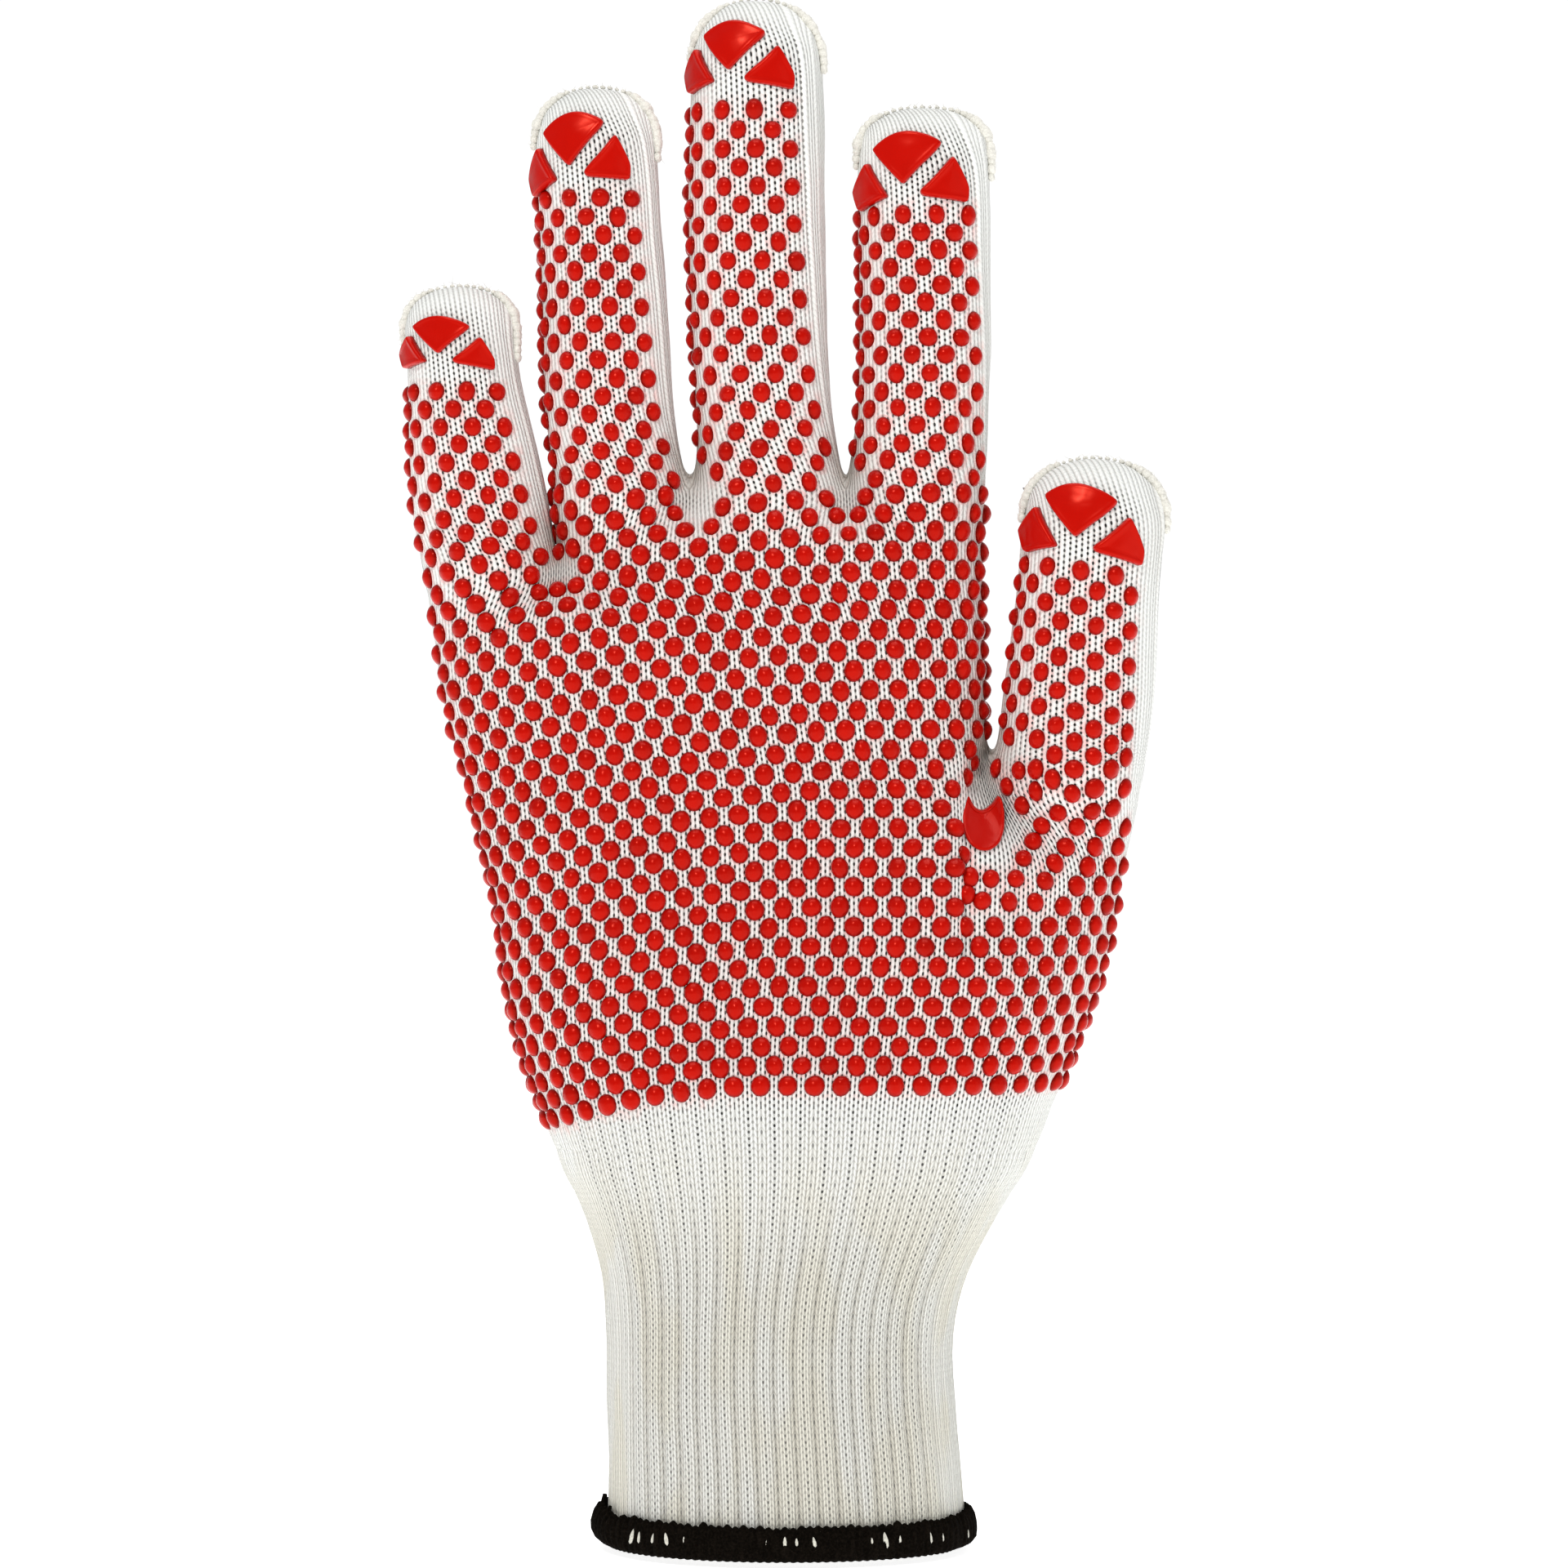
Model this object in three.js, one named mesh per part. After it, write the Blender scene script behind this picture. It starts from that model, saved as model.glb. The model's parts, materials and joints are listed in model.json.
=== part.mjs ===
// Knit work glove with a dotted palm, right hand, filled out as on a hand.
// Millimetres. The origin is the centre of the cuff mouth, the fingertips point to +Z,
// the dotted palm faces -Y and the thumb lies toward +X.
import * as THREE from 'three';

// Driving dimensions
const GLOVE_LENGTH = 250;
const KNIT_WALL = 1.3;
const CUFF_WALL = 1.8;
const CUFF_TOP = 51;
const GAP = 0.3;

const EDGE_HEIGHT = 5.5;
const EDGE_THICKNESS = 1.4;
const EDGE_BOTTOM = 0.9;

const WALL_FADE = 12;
const RIB_DEPTH = 0.55;
const RIB_FADE = 26;
const RIB_FADE_END = 68;
const RIB_SPLIT = 3;

const PAD_THICKNESS = 1;
const PAD_GRID = 4;
const RIDGE_WIDTH = 2.4;
const RIDGE_HEIGHT = 1.2;
const RIDGE_SIDES = 5;
const DOME_HEIGHT = 11;
const THUMB_DOME_HEIGHT = 12;

// One strip is the run of columns that belongs to one digit, on the palm and on the back alike.
const STRIP_COLUMNS = 5;
const WALES_PER_COLUMN = 3.2;
const OUTER_SIDE_WALES = 0.5;
const CROTCH_SIDE_WALES = 1;

const COLOURS = { knit: 0xe9e8e1, edge: 0x17181a, ridge: 0xe6e3d2, grip: 0xc81410 };

// Section tables. left and right are the limbs seen from the palm, depth is palm to back,
// centre is the middle of the depth, square is the superellipse power of the section,
// front is the share of the wales' width that the palm side takes.
function table(columns, rows) {
  return rows.map((row) => Object.fromEntries(columns.map((name, i) => [name, row[i]])));
}

const BODY_COLUMNS = ['z', 'left', 'right', 'depth', 'centre', 'square', 'front'];

const HAND_SECTIONS = table(BODY_COLUMNS, [
  [0.9, -28.6, 29.6, 43.5, 0, 2.05, 1.1],
  [20, -28.6, 28.1, 42, 0, 2.05, 1.1],
  [33, -29.1, 27.4, 41, 0, 2.05, 1.1],
  [42, -29.4, 29.2, 41, 0, 2.1, 1.09],
  [51, -31.7, 33.6, 41.5, 0, 2.15, 1.07],
  [62, -36.1, 39.7, 42, 0, 2.2, 1.05],
  [72.5, -40.3, 44.2, 41.5, 0, 2.3, 1.03],
  [83, -43.7, 48.3, 40, 0, 2.4, 1.01],
  [94, -45.6, 52.2, 38, 0, 2.45, 1],
  [104, -46.9, 54.2, 36, 0, 2.5, 1],
  [115, -49.7, 56.3, 34, -0.5, 2.5, 0.99],
  [126, -52.2, 58.2, 32, -1, 2.5, 0.98],
  [134, -54, 59, 31, -1, 2.5, 0.98],
]);

const PALM_SECTIONS = table(BODY_COLUMNS, [
  [104, -46.9, 34, 35, 0, 2.5, 1],
  [115, -49.7, 33.5, 33.5, 0, 2.5, 0.99],
  [126, -52.2, 33, 32, 0, 2.5, 0.97],
  [136, -55.2, 32.6, 31, 0, 2.5, 0.96],
  [147, -56.7, 32.4, 30, 0, 2.5, 0.96],
  [157.5, -58.4, 32.1, 28.5, 0, 2.45, 0.97],
  [166, -60, 32.2, 27, 0, 2.4, 0.98],
]);

const KNUCKLE_SECTIONS = table(BODY_COLUMNS, [
  [146, -36.8, 32.4, 29, 0, 2.5, 0.97],
  [158, -36.6, 32.1, 27.5, 0, 2.5, 0.98],
  [166, -37.1, 32.2, 25.5, 0, 2.4, 1],
  [172, -37.4, 32.5, 24.5, 0, 2.4, 1],
]);

// Digit tables. twist is how far the knit has turned leftward round the digit, in degrees.
const DIGIT_COLUMNS = ['z', 'left', 'right', 'depth', 'centre', 'twist'];

const DIGITS = {
  little: {
    tip: 203.4,
    dome: DOME_HEIGHT,
    blunt: 3.6,
    sections: table(DIGIT_COLUMNS, [
      [150, -57.2, -36.2, 24, 0, 0],
      [158, -58.5, -37, 21.5, 0, 0],
      [166, -60.2, -37.9, 19.5, 0, 12],
      [178, -61, -40, 18.5, -0.5, 26],
      [190, -61.2, -43, 17.5, -1, 34],
      [203.4, -61.9, -42.9, 17, -1.5, 40],
    ]),
  },
  ring: {
    tip: 235.7,
    dome: DOME_HEIGHT,
    blunt: 2.7,
    sections: table(DIGIT_COLUMNS, [
      [158, -36.6, -15.6, 26, 0, 0],
      [170.3, -37.4, -16.2, 21.5, 0, 0],
      [177, -37.9, -16.8, 20.5, 0, 12],
      [184, -38.9, -17.9, 20, 0, 20],
      [197, -39.3, -18.6, 19, -0.5, 28],
      [210.5, -39.5, -19.5, 18.5, -0.5, 33],
      [221, -40.3, -20.4, 18, -1, 36],
      [235.7, -40.3, -20.4, 17.5, -1, 40],
    ]),
  },
  middle: {
    tip: GLOVE_LENGTH,
    dome: DOME_HEIGHT,
    blunt: 2.1,
    sections: table(DIGIT_COLUMNS, [
      [158, -15.2, 10, 26, 0, 0],
      [170.3, -14.4, 9.5, 22.5, 0, 0],
      [177, -14.2, 8.8, 21.5, 0, 12],
      [184, -14.3, 7.8, 21, 0, 20],
      [196, -15.1, 7.2, 20, -0.5, 27],
      [208, -15.5, 6.9, 19.5, -0.5, 31],
      [221, -15.5, 6.8, 19, -1, 35],
      [237, -15.1, 6.5, 18.5, -1, 39],
      [250, -15.1, 6.3, 18, -1, 42],
    ]),
  },
  index: {
    tip: 232.5,
    dome: DOME_HEIGHT,
    blunt: 3.6,
    sections: table(DIGIT_COLUMNS, [
      [158, 10.4, 32.2, 26, 0, 0],
      [170.3, 10.6, 32.5, 22, 0, 0],
      [177, 10.9, 32.9, 21, 0, 11],
      [184, 11.7, 33.3, 20.5, 0, 18],
      [196, 12.1, 33.6, 19.5, -0.5, 24],
      [218, 11.9, 33.6, 18.5, -1, 32],
      [232.5, 11.9, 33.4, 18, -1, 36],
    ]),
  },
  thumb: {
    tip: 175.3,
    dome: THUMB_DOME_HEIGHT,
    blunt: 2.8,
    sections: table(DIGIT_COLUMNS, [
      [106, 31.8, 54.6, 32, -2, 0],
      [118, 33.3, 56.9, 28, -3, 0],
      [125.5, 34.3, 58.1, 25.5, -3.5, 0],
      [131, 34.8, 59, 24, -4, 3],
      [141.5, 36.1, 60.1, 22.5, -4.5, 7],
      [152, 37.4, 60.5, 21.5, -5, 10],
      [164, 38.3, 61.6, 21, -5.5, 12],
      [175.3, 38.3, 61.6, 20.5, -5.5, 14],
    ]),
  },
};
const DIGIT_SQUARE = 2.15;

// Rows of the mesh, by height. A digit's dome rows are shares of the dome's height.
const RIB_ROWS = [14, 27, 39, 48, 57, 64];
const HAND_ROWS = [71, 78, 86, 94, 102, 109, 115, 120.5];
const PALM_ROWS = [131, 137, 143, 149, 153.5];
const KNUCKLE_ROWS = [162.5, 167];
const DIGIT_ROWS = {
  little: [163, 168, 176, 184],
  ring: [175, 182, 192, 203, 214],
  middle: [175, 182, 192, 204, 216, 228],
  index: [175, 182, 192, 203, 213],
  thumb: [130.5, 137, 146, 155],
};
const DOME_ROWS = [0, 0.35, 0.62, 0.82, 0.94];

// The hand as a tree of tubes. web is the width of the crotch from palm to back, rise is how far
// its middle stands above its two corners, blend is the height over which the creases grow.
const HAND = {
  strips: 5,
  sections: HAND_SECTIONS,
  rows: HAND_ROWS,
  top: 125.5,
  blend: 17,
  web: 13,
  rise: 3.4,
  sides: [OUTER_SIDE_WALES, OUTER_SIDE_WALES],
  children: [
    {
      strips: 4,
      sections: PALM_SECTIONS,
      rows: PALM_ROWS,
      top: 158,
      blend: 11,
      web: 11,
      rise: 3.4,
      sides: [OUTER_SIDE_WALES, CROTCH_SIDE_WALES],
      children: [
        digit('little', [OUTER_SIDE_WALES, CROTCH_SIDE_WALES]),
        {
          strips: 3,
          sections: KNUCKLE_SECTIONS,
          rows: KNUCKLE_ROWS,
          top: 170.3,
          blend: 10,
          web: 11,
          rise: 3.3,
          sides: [CROTCH_SIDE_WALES, CROTCH_SIDE_WALES],
          children: [
            digit('ring', [CROTCH_SIDE_WALES, CROTCH_SIDE_WALES]),
            digit('middle', [CROTCH_SIDE_WALES, CROTCH_SIDE_WALES]),
            digit('index', [CROTCH_SIDE_WALES, CROTCH_SIDE_WALES]),
          ],
        },
      ],
    },
    digit('thumb', [CROTCH_SIDE_WALES, OUTER_SIDE_WALES]),
  ],
};

// Hills and hollows of the palm: place, reach across and up, and height toward the palm side.
const PALM_RELIEF = table(['x', 'z', 'across', 'up', 'height'], [
  [34, 92, 17, 27, 5],
  [-33, 84, 13, 27, 2.5],
  [-2, 100, 16, 24, -2.5],
]);

// Where each digit's pads sit: turn of their axis round the digit, in degrees, how far they are
// moved down it, how much they are drawn out along it and their slope toward the thumb side.
const PAD_PLACES = {
  little: { axis: -19, moved: 1.9, drawn: 0.78, slope: 0.06 },
  ring: { axis: -22, moved: 0.1, drawn: 1.11, slope: -0.1 },
  middle: { axis: -23, moved: 0, drawn: 1.03, slope: 0.02 },
  index: { axis: -17.5, moved: 0, drawn: 1.1, slope: -0.03 },
  thumb: { axis: -15, moved: -0.3, drawn: 1.12, slope: 0.14 },
};

// Corners of the pads: angle round the digit from the pads' axis, in degrees, and depth below
// the tip.
const PAD_CORNERS = {
  tip: table(['angle', 'drop'], [[-30, 6.8], [31, 6.3], [0, 12.3]]),
  left: table(['angle', 'drop'], [[-55, 15], [-38, 8.3], [-13, 13.7]]),
  right: table(['angle', 'drop'], [[40, 8.1], [56, 14.6], [13, 13.5]]),
};
const PAD_BULGE = { tip: 2.1, left: 0.7, right: 0.7 };

// Thumb crotch pad, a U in the palm plane: horn tops, notch, shoulders and foot.
const CROTCH_PAD = table(['x', 'z'], [
  [28.7, 121],
  [28.5, 117],
  [29.7, 114],
  [31.9, 112.4],
  [34.2, 114],
  [35.3, 117],
  [34.6, 121],
  [33.6, 119.6],
  [32.3, 118.8],
  [30.5, 119.2],
]);

const CROTCH_PAD_LIFT = 0.6;

// Section of the black edge, outer lip to inner lip and back: the side of the knit it lies on
// (1 outer, -1 inner), distance off that side's face and height.
const EDGE_SECTION = table(['side', 'away', 'z'], [
  [1, GAP, 5.1],
  [1, GAP, EDGE_BOTTOM - GAP],
  [-1, GAP, EDGE_BOTTOM - GAP],
  [-1, GAP, 4.3],
  [-1, GAP + 0.6 * EDGE_THICKNESS, 4.3],
  [-1, GAP + 0.6 * EDGE_THICKNESS, 0.4],
  [-1, GAP, 0],
  [1, GAP, 0],
  [1, GAP + EDGE_THICKNESS, 0.9],
  [1, GAP + EDGE_THICKNESS, 4.7],
  [1, GAP + 0.5 * EDGE_THICKNESS, EDGE_HEIGHT],
]);

// Fingertip ridge: the angles round the digit of its two sides, in degrees, and the depths below
// the tip of its joints.
const RIDGE_ANGLES = { left: -84, right: 77 };
const RIDGE_DROPS = {
  left: [9.4, 7.6, 5.8, 4.1, 2.5, 1.2, 0.2],
  right: [11.4, 9, 6.8, 4.6, 2.7, 1.2, 0.2],
};

function digit(name, sides) {
  return { name, strips: 1, ...DIGITS[name], rows: DIGIT_ROWS[name], sides };
}

// Smooth reading of a section table at height z.
function sectionAt(rows, z) {
  const last = rows.length - 1;
  let i = 0;
  while (i < last - 1 && z > rows[i + 1].z) {
    i += 1;
  }
  const span = rows[i + 1].z - rows[i].z;
  const t = Math.min(Math.max((z - rows[i].z) / span, 0), 1);
  const section = { z };
  for (const key of Object.keys(rows[i])) {
    if (key !== 'z') {
      const start = rows[i][key];
      const end = rows[i + 1][key];
      const before = rows[Math.max(i - 1, 0)];
      const after = rows[Math.min(i + 2, last)];
      const inSlope = (end - before[key]) / (rows[i + 1].z - before.z);
      const outSlope = (after[key] - start) / (after.z - rows[i].z);
      const a = inSlope * span;
      const b = outSlope * span;
      const bend = t * t * (3 - 2 * t);
      const ease = t * (1 - t) * ((1 - t) * a - t * b);
      section[key] = start + (end - start) * bend + ease;
    }
  }
  return section;
}

function smoothStep(t) {
  const u = Math.min(Math.max(t, 0), 1);
  return u * u * (3 - 2 * u);
}

// Width of a rounded fingertip at a drop below its top, as a share of the full width.
function domeShare(part, drop) {
  const rise = Math.min(Math.max(1 - drop / part.dome, 0), 1);
  return Math.sqrt(Math.max(1 - rise ** part.blunt, 0));
}

// Centre and half sizes of a tube at height z.
function tubeAt(part, z) {
  const section = sectionAt(part.sections, z);
  const share = part.dome ? domeShare(part, part.tip - z) : 1;
  return {
    x: (section.left + section.right) / 2,
    y: section.centre,
    z,
    a: ((section.right - section.left) / 2) * share,
    b: (section.depth / 2) * share,
    square: section.square ?? DIGIT_SQUARE,
    front: section.front ?? 1,
    twist: section.twist ?? 0,
  };
}

// Point of a tube at an angle, 0 at the palm side and 90 toward the thumb.
function tubePoint(tube, angle) {
  const sine = Math.sin(angle);
  const cosine = Math.cos(angle);
  const power = 2 / tube.square;
  return new THREE.Vector3(
    tube.x + tube.a * Math.sign(sine) * Math.abs(sine) ** power,
    tube.y - tube.b * Math.sign(cosine) * Math.abs(cosine) ** power,
    tube.z,
  );
}

function reliefAt(x, z) {
  return PALM_RELIEF.reduce((sum, hill) => {
    const across = (x - hill.x) / hill.across;
    const up = (z - hill.z) / hill.up;
    return sum + hill.height * Math.exp(-(across * across + up * up));
  }, 0);
}

// A loop of knit round a tube: its columns have equal arcs per wale.
const OUTLINE_STEPS = 360;

function plainLoop(part, z) {
  const tube = tubeAt(part, z);
  const outline = [];
  const arcs = [0];
  for (let i = 0; i <= OUTLINE_STEPS; i += 1) {
    outline.push(tubePoint(tube, -Math.PI / 2 + (i / OUTLINE_STEPS) * 2 * Math.PI));
    if (i > 0) {
      arcs.push(arcs[i - 1] + outline[i].distanceTo(outline[i - 1]));
    }
  }
  const round = arcs[OUTLINE_STEPS];
  const columns = part.strips * STRIP_COLUMNS;
  const frontWidth = WALES_PER_COLUMN * tube.front;
  const backWidth = WALES_PER_COLUMN * (2 - tube.front);
  const [leftSide, rightSide] = part.sides;
  const total = columns * 2 * WALES_PER_COLUMN + 2 * (leftSide + rightSide);
  const start = round * (0.25 - tube.twist / 360) - (columns * frontWidth * round) / total / 2;

  function pointAt(wales) {
    const arc = THREE.MathUtils.euclideanModulo(start + (wales * round) / total, round);
    let i = 1;
    while (i < OUTLINE_STEPS && arcs[i] < arc) {
      i += 1;
    }
    const t = (arc - arcs[i - 1]) / (arcs[i] - arcs[i - 1]);
    const point = outline[i - 1].clone().lerp(outline[i], t);
    if (!part.dome) {
      point.y -= reliefAt(point.x, z) * Math.max((tube.y - point.y) / tube.b, 0);
    }
    return point;
  }

  const ticks = Array.from({ length: columns + 1 }, (_, k) => k);
  const backStart = columns * frontWidth + 2 * rightSide;
  return {
    front: ticks.map((k) => pointAt(k * frontWidth)),
    right: pointAt(columns * frontWidth + rightSide),
    back: ticks.map((k) => pointAt(backStart + (columns - k) * backWidth)),
    left: pointAt(-leftSide),
  };
}

// Neighbouring loops joined into one, with the crease corners web apart from palm to back.
function joinLoops(loops, web) {
  const joined = { front: [], back: [], left: loops[0].left, right: loops.at(-1).right };
  loops.forEach((loop, index) => {
    for (const [side, sign] of [['front', -1], ['back', 1]]) {
      const points = loop[side].map((point) => point.clone());
      if (index > 0) {
        const corner = joined[side].pop();
        corner.lerp(points.shift(), 0.5);
        corner.y = (loops[index - 1].right.y + loop.left.y) / 2 + (sign * web) / 2;
        joined[side].push(corner);
      }
      joined[side].push(...points);
    }
  });
  return joined;
}

function loopAt(part, z) {
  const plain = plainLoop(part, z);
  const share = part.children ? smoothStep((z - part.top + part.blend) / part.blend) : 0;
  if (share === 0) {
    return plain;
  }
  const joined = joinLoops(part.children.map((child) => loopAt(child, z)), part.web);
  return {
    front: plain.front.map((point, k) => point.lerp(joined.front[k], share)),
    back: plain.back.map((point, k) => point.lerp(joined.back[k], share)),
    left: plain.left.lerp(joined.left, share),
    right: plain.right.lerp(joined.right, share),
  };
}

// The outer cage of the knit: points, faces and the loops of the ribbed cuff.
const cage = { points: [], faces: [] };

function addPoint(point) {
  cage.points.push(point);
  return cage.points.length - 1;
}

function addLoop(loop) {
  return {
    front: loop.front.map(addPoint),
    right: addPoint(loop.right),
    back: loop.back.map(addPoint),
    left: addPoint(loop.left),
  };
}

function ringOf(loop) {
  return [...loop.front, loop.right, ...loop.back.toReversed(), loop.left];
}

function bandFaces(lower, upper) {
  return lower.map((_, i) => {
    const next = (i + 1) % lower.length;
    return [lower[i], lower[next], upper[next], upper[i]];
  });
}

function climb(part, loop) {
  let current = loop;
  const heights = [...part.rows];
  if (part.dome) {
    heights.push(...DOME_ROWS.map((share) => part.tip - part.dome * (1 - share)));
  } else {
    heights.push(part.top);
  }
  for (const z of heights) {
    const next = addLoop(loopAt(part, z));
    cage.faces.push(...bandFaces(ringOf(current), ringOf(next)));
    current = next;
  }
  if (part.dome) {
    closeTip(part, current);
  } else {
    branch(part, current);
  }
}

function branch(part, loop) {
  const crotches = part.children.slice(1).map((_, index) => {
    const strips = part.children.slice(0, index + 1).reduce((sum, child) => sum + child.strips, 0);
    const palm = cage.points[loop.front[strips * STRIP_COLUMNS]];
    const back = cage.points[loop.back[strips * STRIP_COLUMNS]];
    const middle = palm.clone().lerp(back, 0.5);
    middle.z += part.rise;
    return addPoint(middle);
  });
  let first = 0;
  part.children.forEach((child, index) => {
    const last = first + child.strips * STRIP_COLUMNS;
    climb(child, {
      front: loop.front.slice(first, last + 1),
      back: loop.back.slice(first, last + 1),
      left: index === 0 ? loop.left : crotches[index - 1],
      right: index === crotches.length ? loop.right : crotches[index],
    });
    first = last;
  });
}

// The fingertip closes along a ridge from its left side to its right side.
function closeTip(part, loop) {
  const left = cage.points[loop.left];
  const right = cage.points[loop.right];
  const full = tubeAt({ ...part, dome: 0 }, part.tip);
  const half = left.distanceTo(right) / 2;
  const reach = Math.min(full.a, full.b);
  const ridge = loop.front.map((_, k) => {
    const t = (k + 1) / (STRIP_COLUMNS + 2);
    const lateral = (Math.abs(t - 0.5) * 2 * half) / reach;
    const point = left.clone().lerp(right, t);
    point.z = part.tip - part.dome * (1 - (1 - lateral * lateral) ** (1 / part.blunt));
    return addPoint(point);
  });
  for (let k = 0; k < STRIP_COLUMNS; k += 1) {
    cage.faces.push([loop.front[k], loop.front[k + 1], ridge[k + 1], ridge[k]]);
    cage.faces.push([loop.back[k + 1], loop.back[k], ridge[k], ridge[k + 1]]);
  }
  cage.faces.push([loop.left, loop.front[0], ridge[0], loop.back[0]]);
  cage.faces.push([loop.right, loop.back.at(-1), ridge.at(-1), loop.front.at(-1)]);
}

// Closed geometry from points and polygon faces.
function geometryOf(points, faces) {
  const geometry = new THREE.BufferGeometry();
  const triangles = faces.flatMap((face) => cutFace(points, face));
  geometry.setAttribute('position', new THREE.Float32BufferAttribute(
    points.flatMap((point) => point.toArray()), 3,
  ));
  geometry.setIndex(triangles.flat());
  geometry.computeVertexNormals();
  return geometry;
}

function cutFace(points, face) {
  if (face.length === 4) {
    const [a, b, c, d] = face;
    const straight = points[a].distanceTo(points[c]) <= points[b].distanceTo(points[d]);
    return straight ? [[a, b, c], [a, c, d]] : [[a, b, d], [b, c, d]];
  }
  return face.slice(2).map((_, i) => [face[0], face[i + 1], face[i + 2]]);
}

function pointNormals(points, faces) {
  const normals = points.map(() => new THREE.Vector3());
  const first = new THREE.Vector3();
  const second = new THREE.Vector3();
  for (const face of faces) {
    for (const [a, b, c] of cutFace(points, face)) {
      first.subVectors(points[b], points[a]);
      second.subVectors(points[c], points[a]);
      first.cross(second);
      [a, b, c].forEach((index) => normals[index].add(first));
    }
  }
  return normals.map((normal) => normal.normalize());
}

function wallAt(z) {
  return CUFF_WALL + (KNIT_WALL - CUFF_WALL) * smoothStep((z - CUFF_TOP) / WALL_FADE + 0.5);
}

// Ribs: each palm and back column of the cuff has a groove at its start and a raised rest.
function ribbedRing(loop, normals) {
  const columns = loop.front.length - 1;
  const ring = [];
  const pushColumn = (from, to, hasRib) => {
    const splits = hasRib ? RIB_SPLIT : 1;
    for (let j = 0; j < splits; j += 1) {
      const start = cage.points[from];
      const depth = RIB_DEPTH * smoothStep((RIB_FADE_END - start.z) / RIB_FADE);
      const push = j === 0 ? -depth : 0;
      const point = start.clone().lerp(cage.points[to], j / splits);
      const normal = normals[from].clone().lerp(normals[to], j / splits).normalize();
      ring.push({ point: point.addScaledVector(normal, push), column: j === 0 });
    }
  };
  for (let k = 0; k < columns; k += 1) {
    pushColumn(loop.front[k], loop.front[k + 1], true);
  }
  pushColumn(loop.front[columns], loop.right, false);
  pushColumn(loop.right, loop.back[columns], false);
  for (let k = columns; k > 0; k -= 1) {
    pushColumn(loop.back[k], loop.back[k - 1], true);
  }
  pushColumn(loop.back[0], loop.left, false);
  pushColumn(loop.left, loop.front[0], false);
  return ring;
}

// The knit shell: outer skin with a ribbed cuff, inner skin one wall inside, joined at the mouth.
function knitShell() {
  const cuffLoops = [EDGE_BOTTOM, ...RIB_ROWS].map((z) => addLoop(loopAt(HAND, z)));
  const cuffRings = cuffLoops.map(ringOf);
  const cuffFaces = cuffRings.slice(1).flatMap((ring, i) => bandFaces(cuffRings[i], ring));
  climb(HAND, cuffLoops.at(-1));

  const normals = pointNormals(cage.points, [...cage.faces, ...cuffFaces]);
  const points = cage.points.map((point) => point.clone());
  const faces = [...cage.faces];
  const ribRings = cuffLoops.map((loop) => ribbedRing(loop, normals).map(({ point, column }) => {
    points.push(point);
    return { index: points.length - 1, column };
  }));
  ribRings.slice(1).forEach((upper, i) => {
    faces.push(...bandFaces(ribRings[i].map((item) => item.index), upper.map((item) => item.index)));
  });
  const columnStarts = (ring) => ring.map((item, i) => (item.column ? i : -1)).filter((i) => i >= 0);

  // A plain loop of the cage is shared with the last ribbed ring, column by column.
  const lastRing = ribRings.at(-1);
  const lastLoop = cuffRings.at(-1);
  const replaced = new Map();
  columnStarts(lastRing).forEach((start, k) => replaced.set(lastLoop[k], lastRing[start].index));
  const between = new Map();
  columnStarts(lastRing).forEach((start, k, starts) => {
    const end = k + 1 < starts.length ? starts[k + 1] : lastRing.length;
    const inner = lastRing.slice(start + 1, end).map((item) => item.index);
    between.set(`${lastLoop[k]} ${lastLoop[(k + 1) % lastLoop.length]}`, inner);
  });
  const outer = faces.map((face) => {
    const inner = between.get(`${face[0]} ${face[1]}`) ?? [];
    const corners = face.map((index) => replaced.get(index) ?? index);
    return inner.length ? [corners[3], corners[0], ...inner, corners[1], corners[2]] : corners;
  });

  const innerStart = points.length;
  cage.points.forEach((point, i) => {
    points.push(point.clone().addScaledVector(normals[i], -wallAt(point.z)));
  });
  const innerFaces = [...cage.faces, ...cuffFaces].map((face) => (
    face.map((index) => index + innerStart).reverse()
  ));

  // The rim at the mouth.
  const rim = [];
  const mouth = ribRings[0];
  const starts = columnStarts(mouth);
  starts.forEach((start, k) => {
    const end = k + 1 < starts.length ? starts[k + 1] : mouth.length;
    const next = (k + 1) % cuffRings[0].length;
    const outerRun = mouth.slice(start, end).map((item) => item.index);
    outerRun.push(mouth[end % mouth.length].index);
    rim.push([cuffRings[0][k] + innerStart, cuffRings[0][next] + innerStart, ...outerRun.toReversed()]);
  });
  return compact(points, [...outer, ...innerFaces, ...rim]);
}

// Leaves out the points that no face uses.
function compact(points, faces) {
  const used = [...new Set(faces.flat())];
  const places = new Map(used.map((index, place) => [index, place]));
  return geometryOf(
    used.map((index) => points[index]),
    faces.map((face) => face.map((index) => places.get(index))),
  );
}

// Rings of equal length joined in order. An open run of rings gets a cap at each end.
function ringsGeometry(rings, closed) {
  const size = rings[0].length;
  const points = rings.flat();
  const faces = [];
  const runs = closed ? rings.length : rings.length - 1;
  for (let i = 0; i < runs; i += 1) {
    const next = (i + 1) % rings.length;
    for (let j = 0; j < size; j += 1) {
      const beside = (j + 1) % size;
      faces.push([i * size + j, i * size + beside, next * size + beside, next * size + j]);
    }
  }
  if (!closed) {
    const indices = Array.from({ length: size }, (_, j) => j);
    faces.push(indices.toReversed());
    faces.push(indices.map((j) => (rings.length - 1) * size + j));
  }
  return outwardGeometry(points, faces);
}

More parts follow.
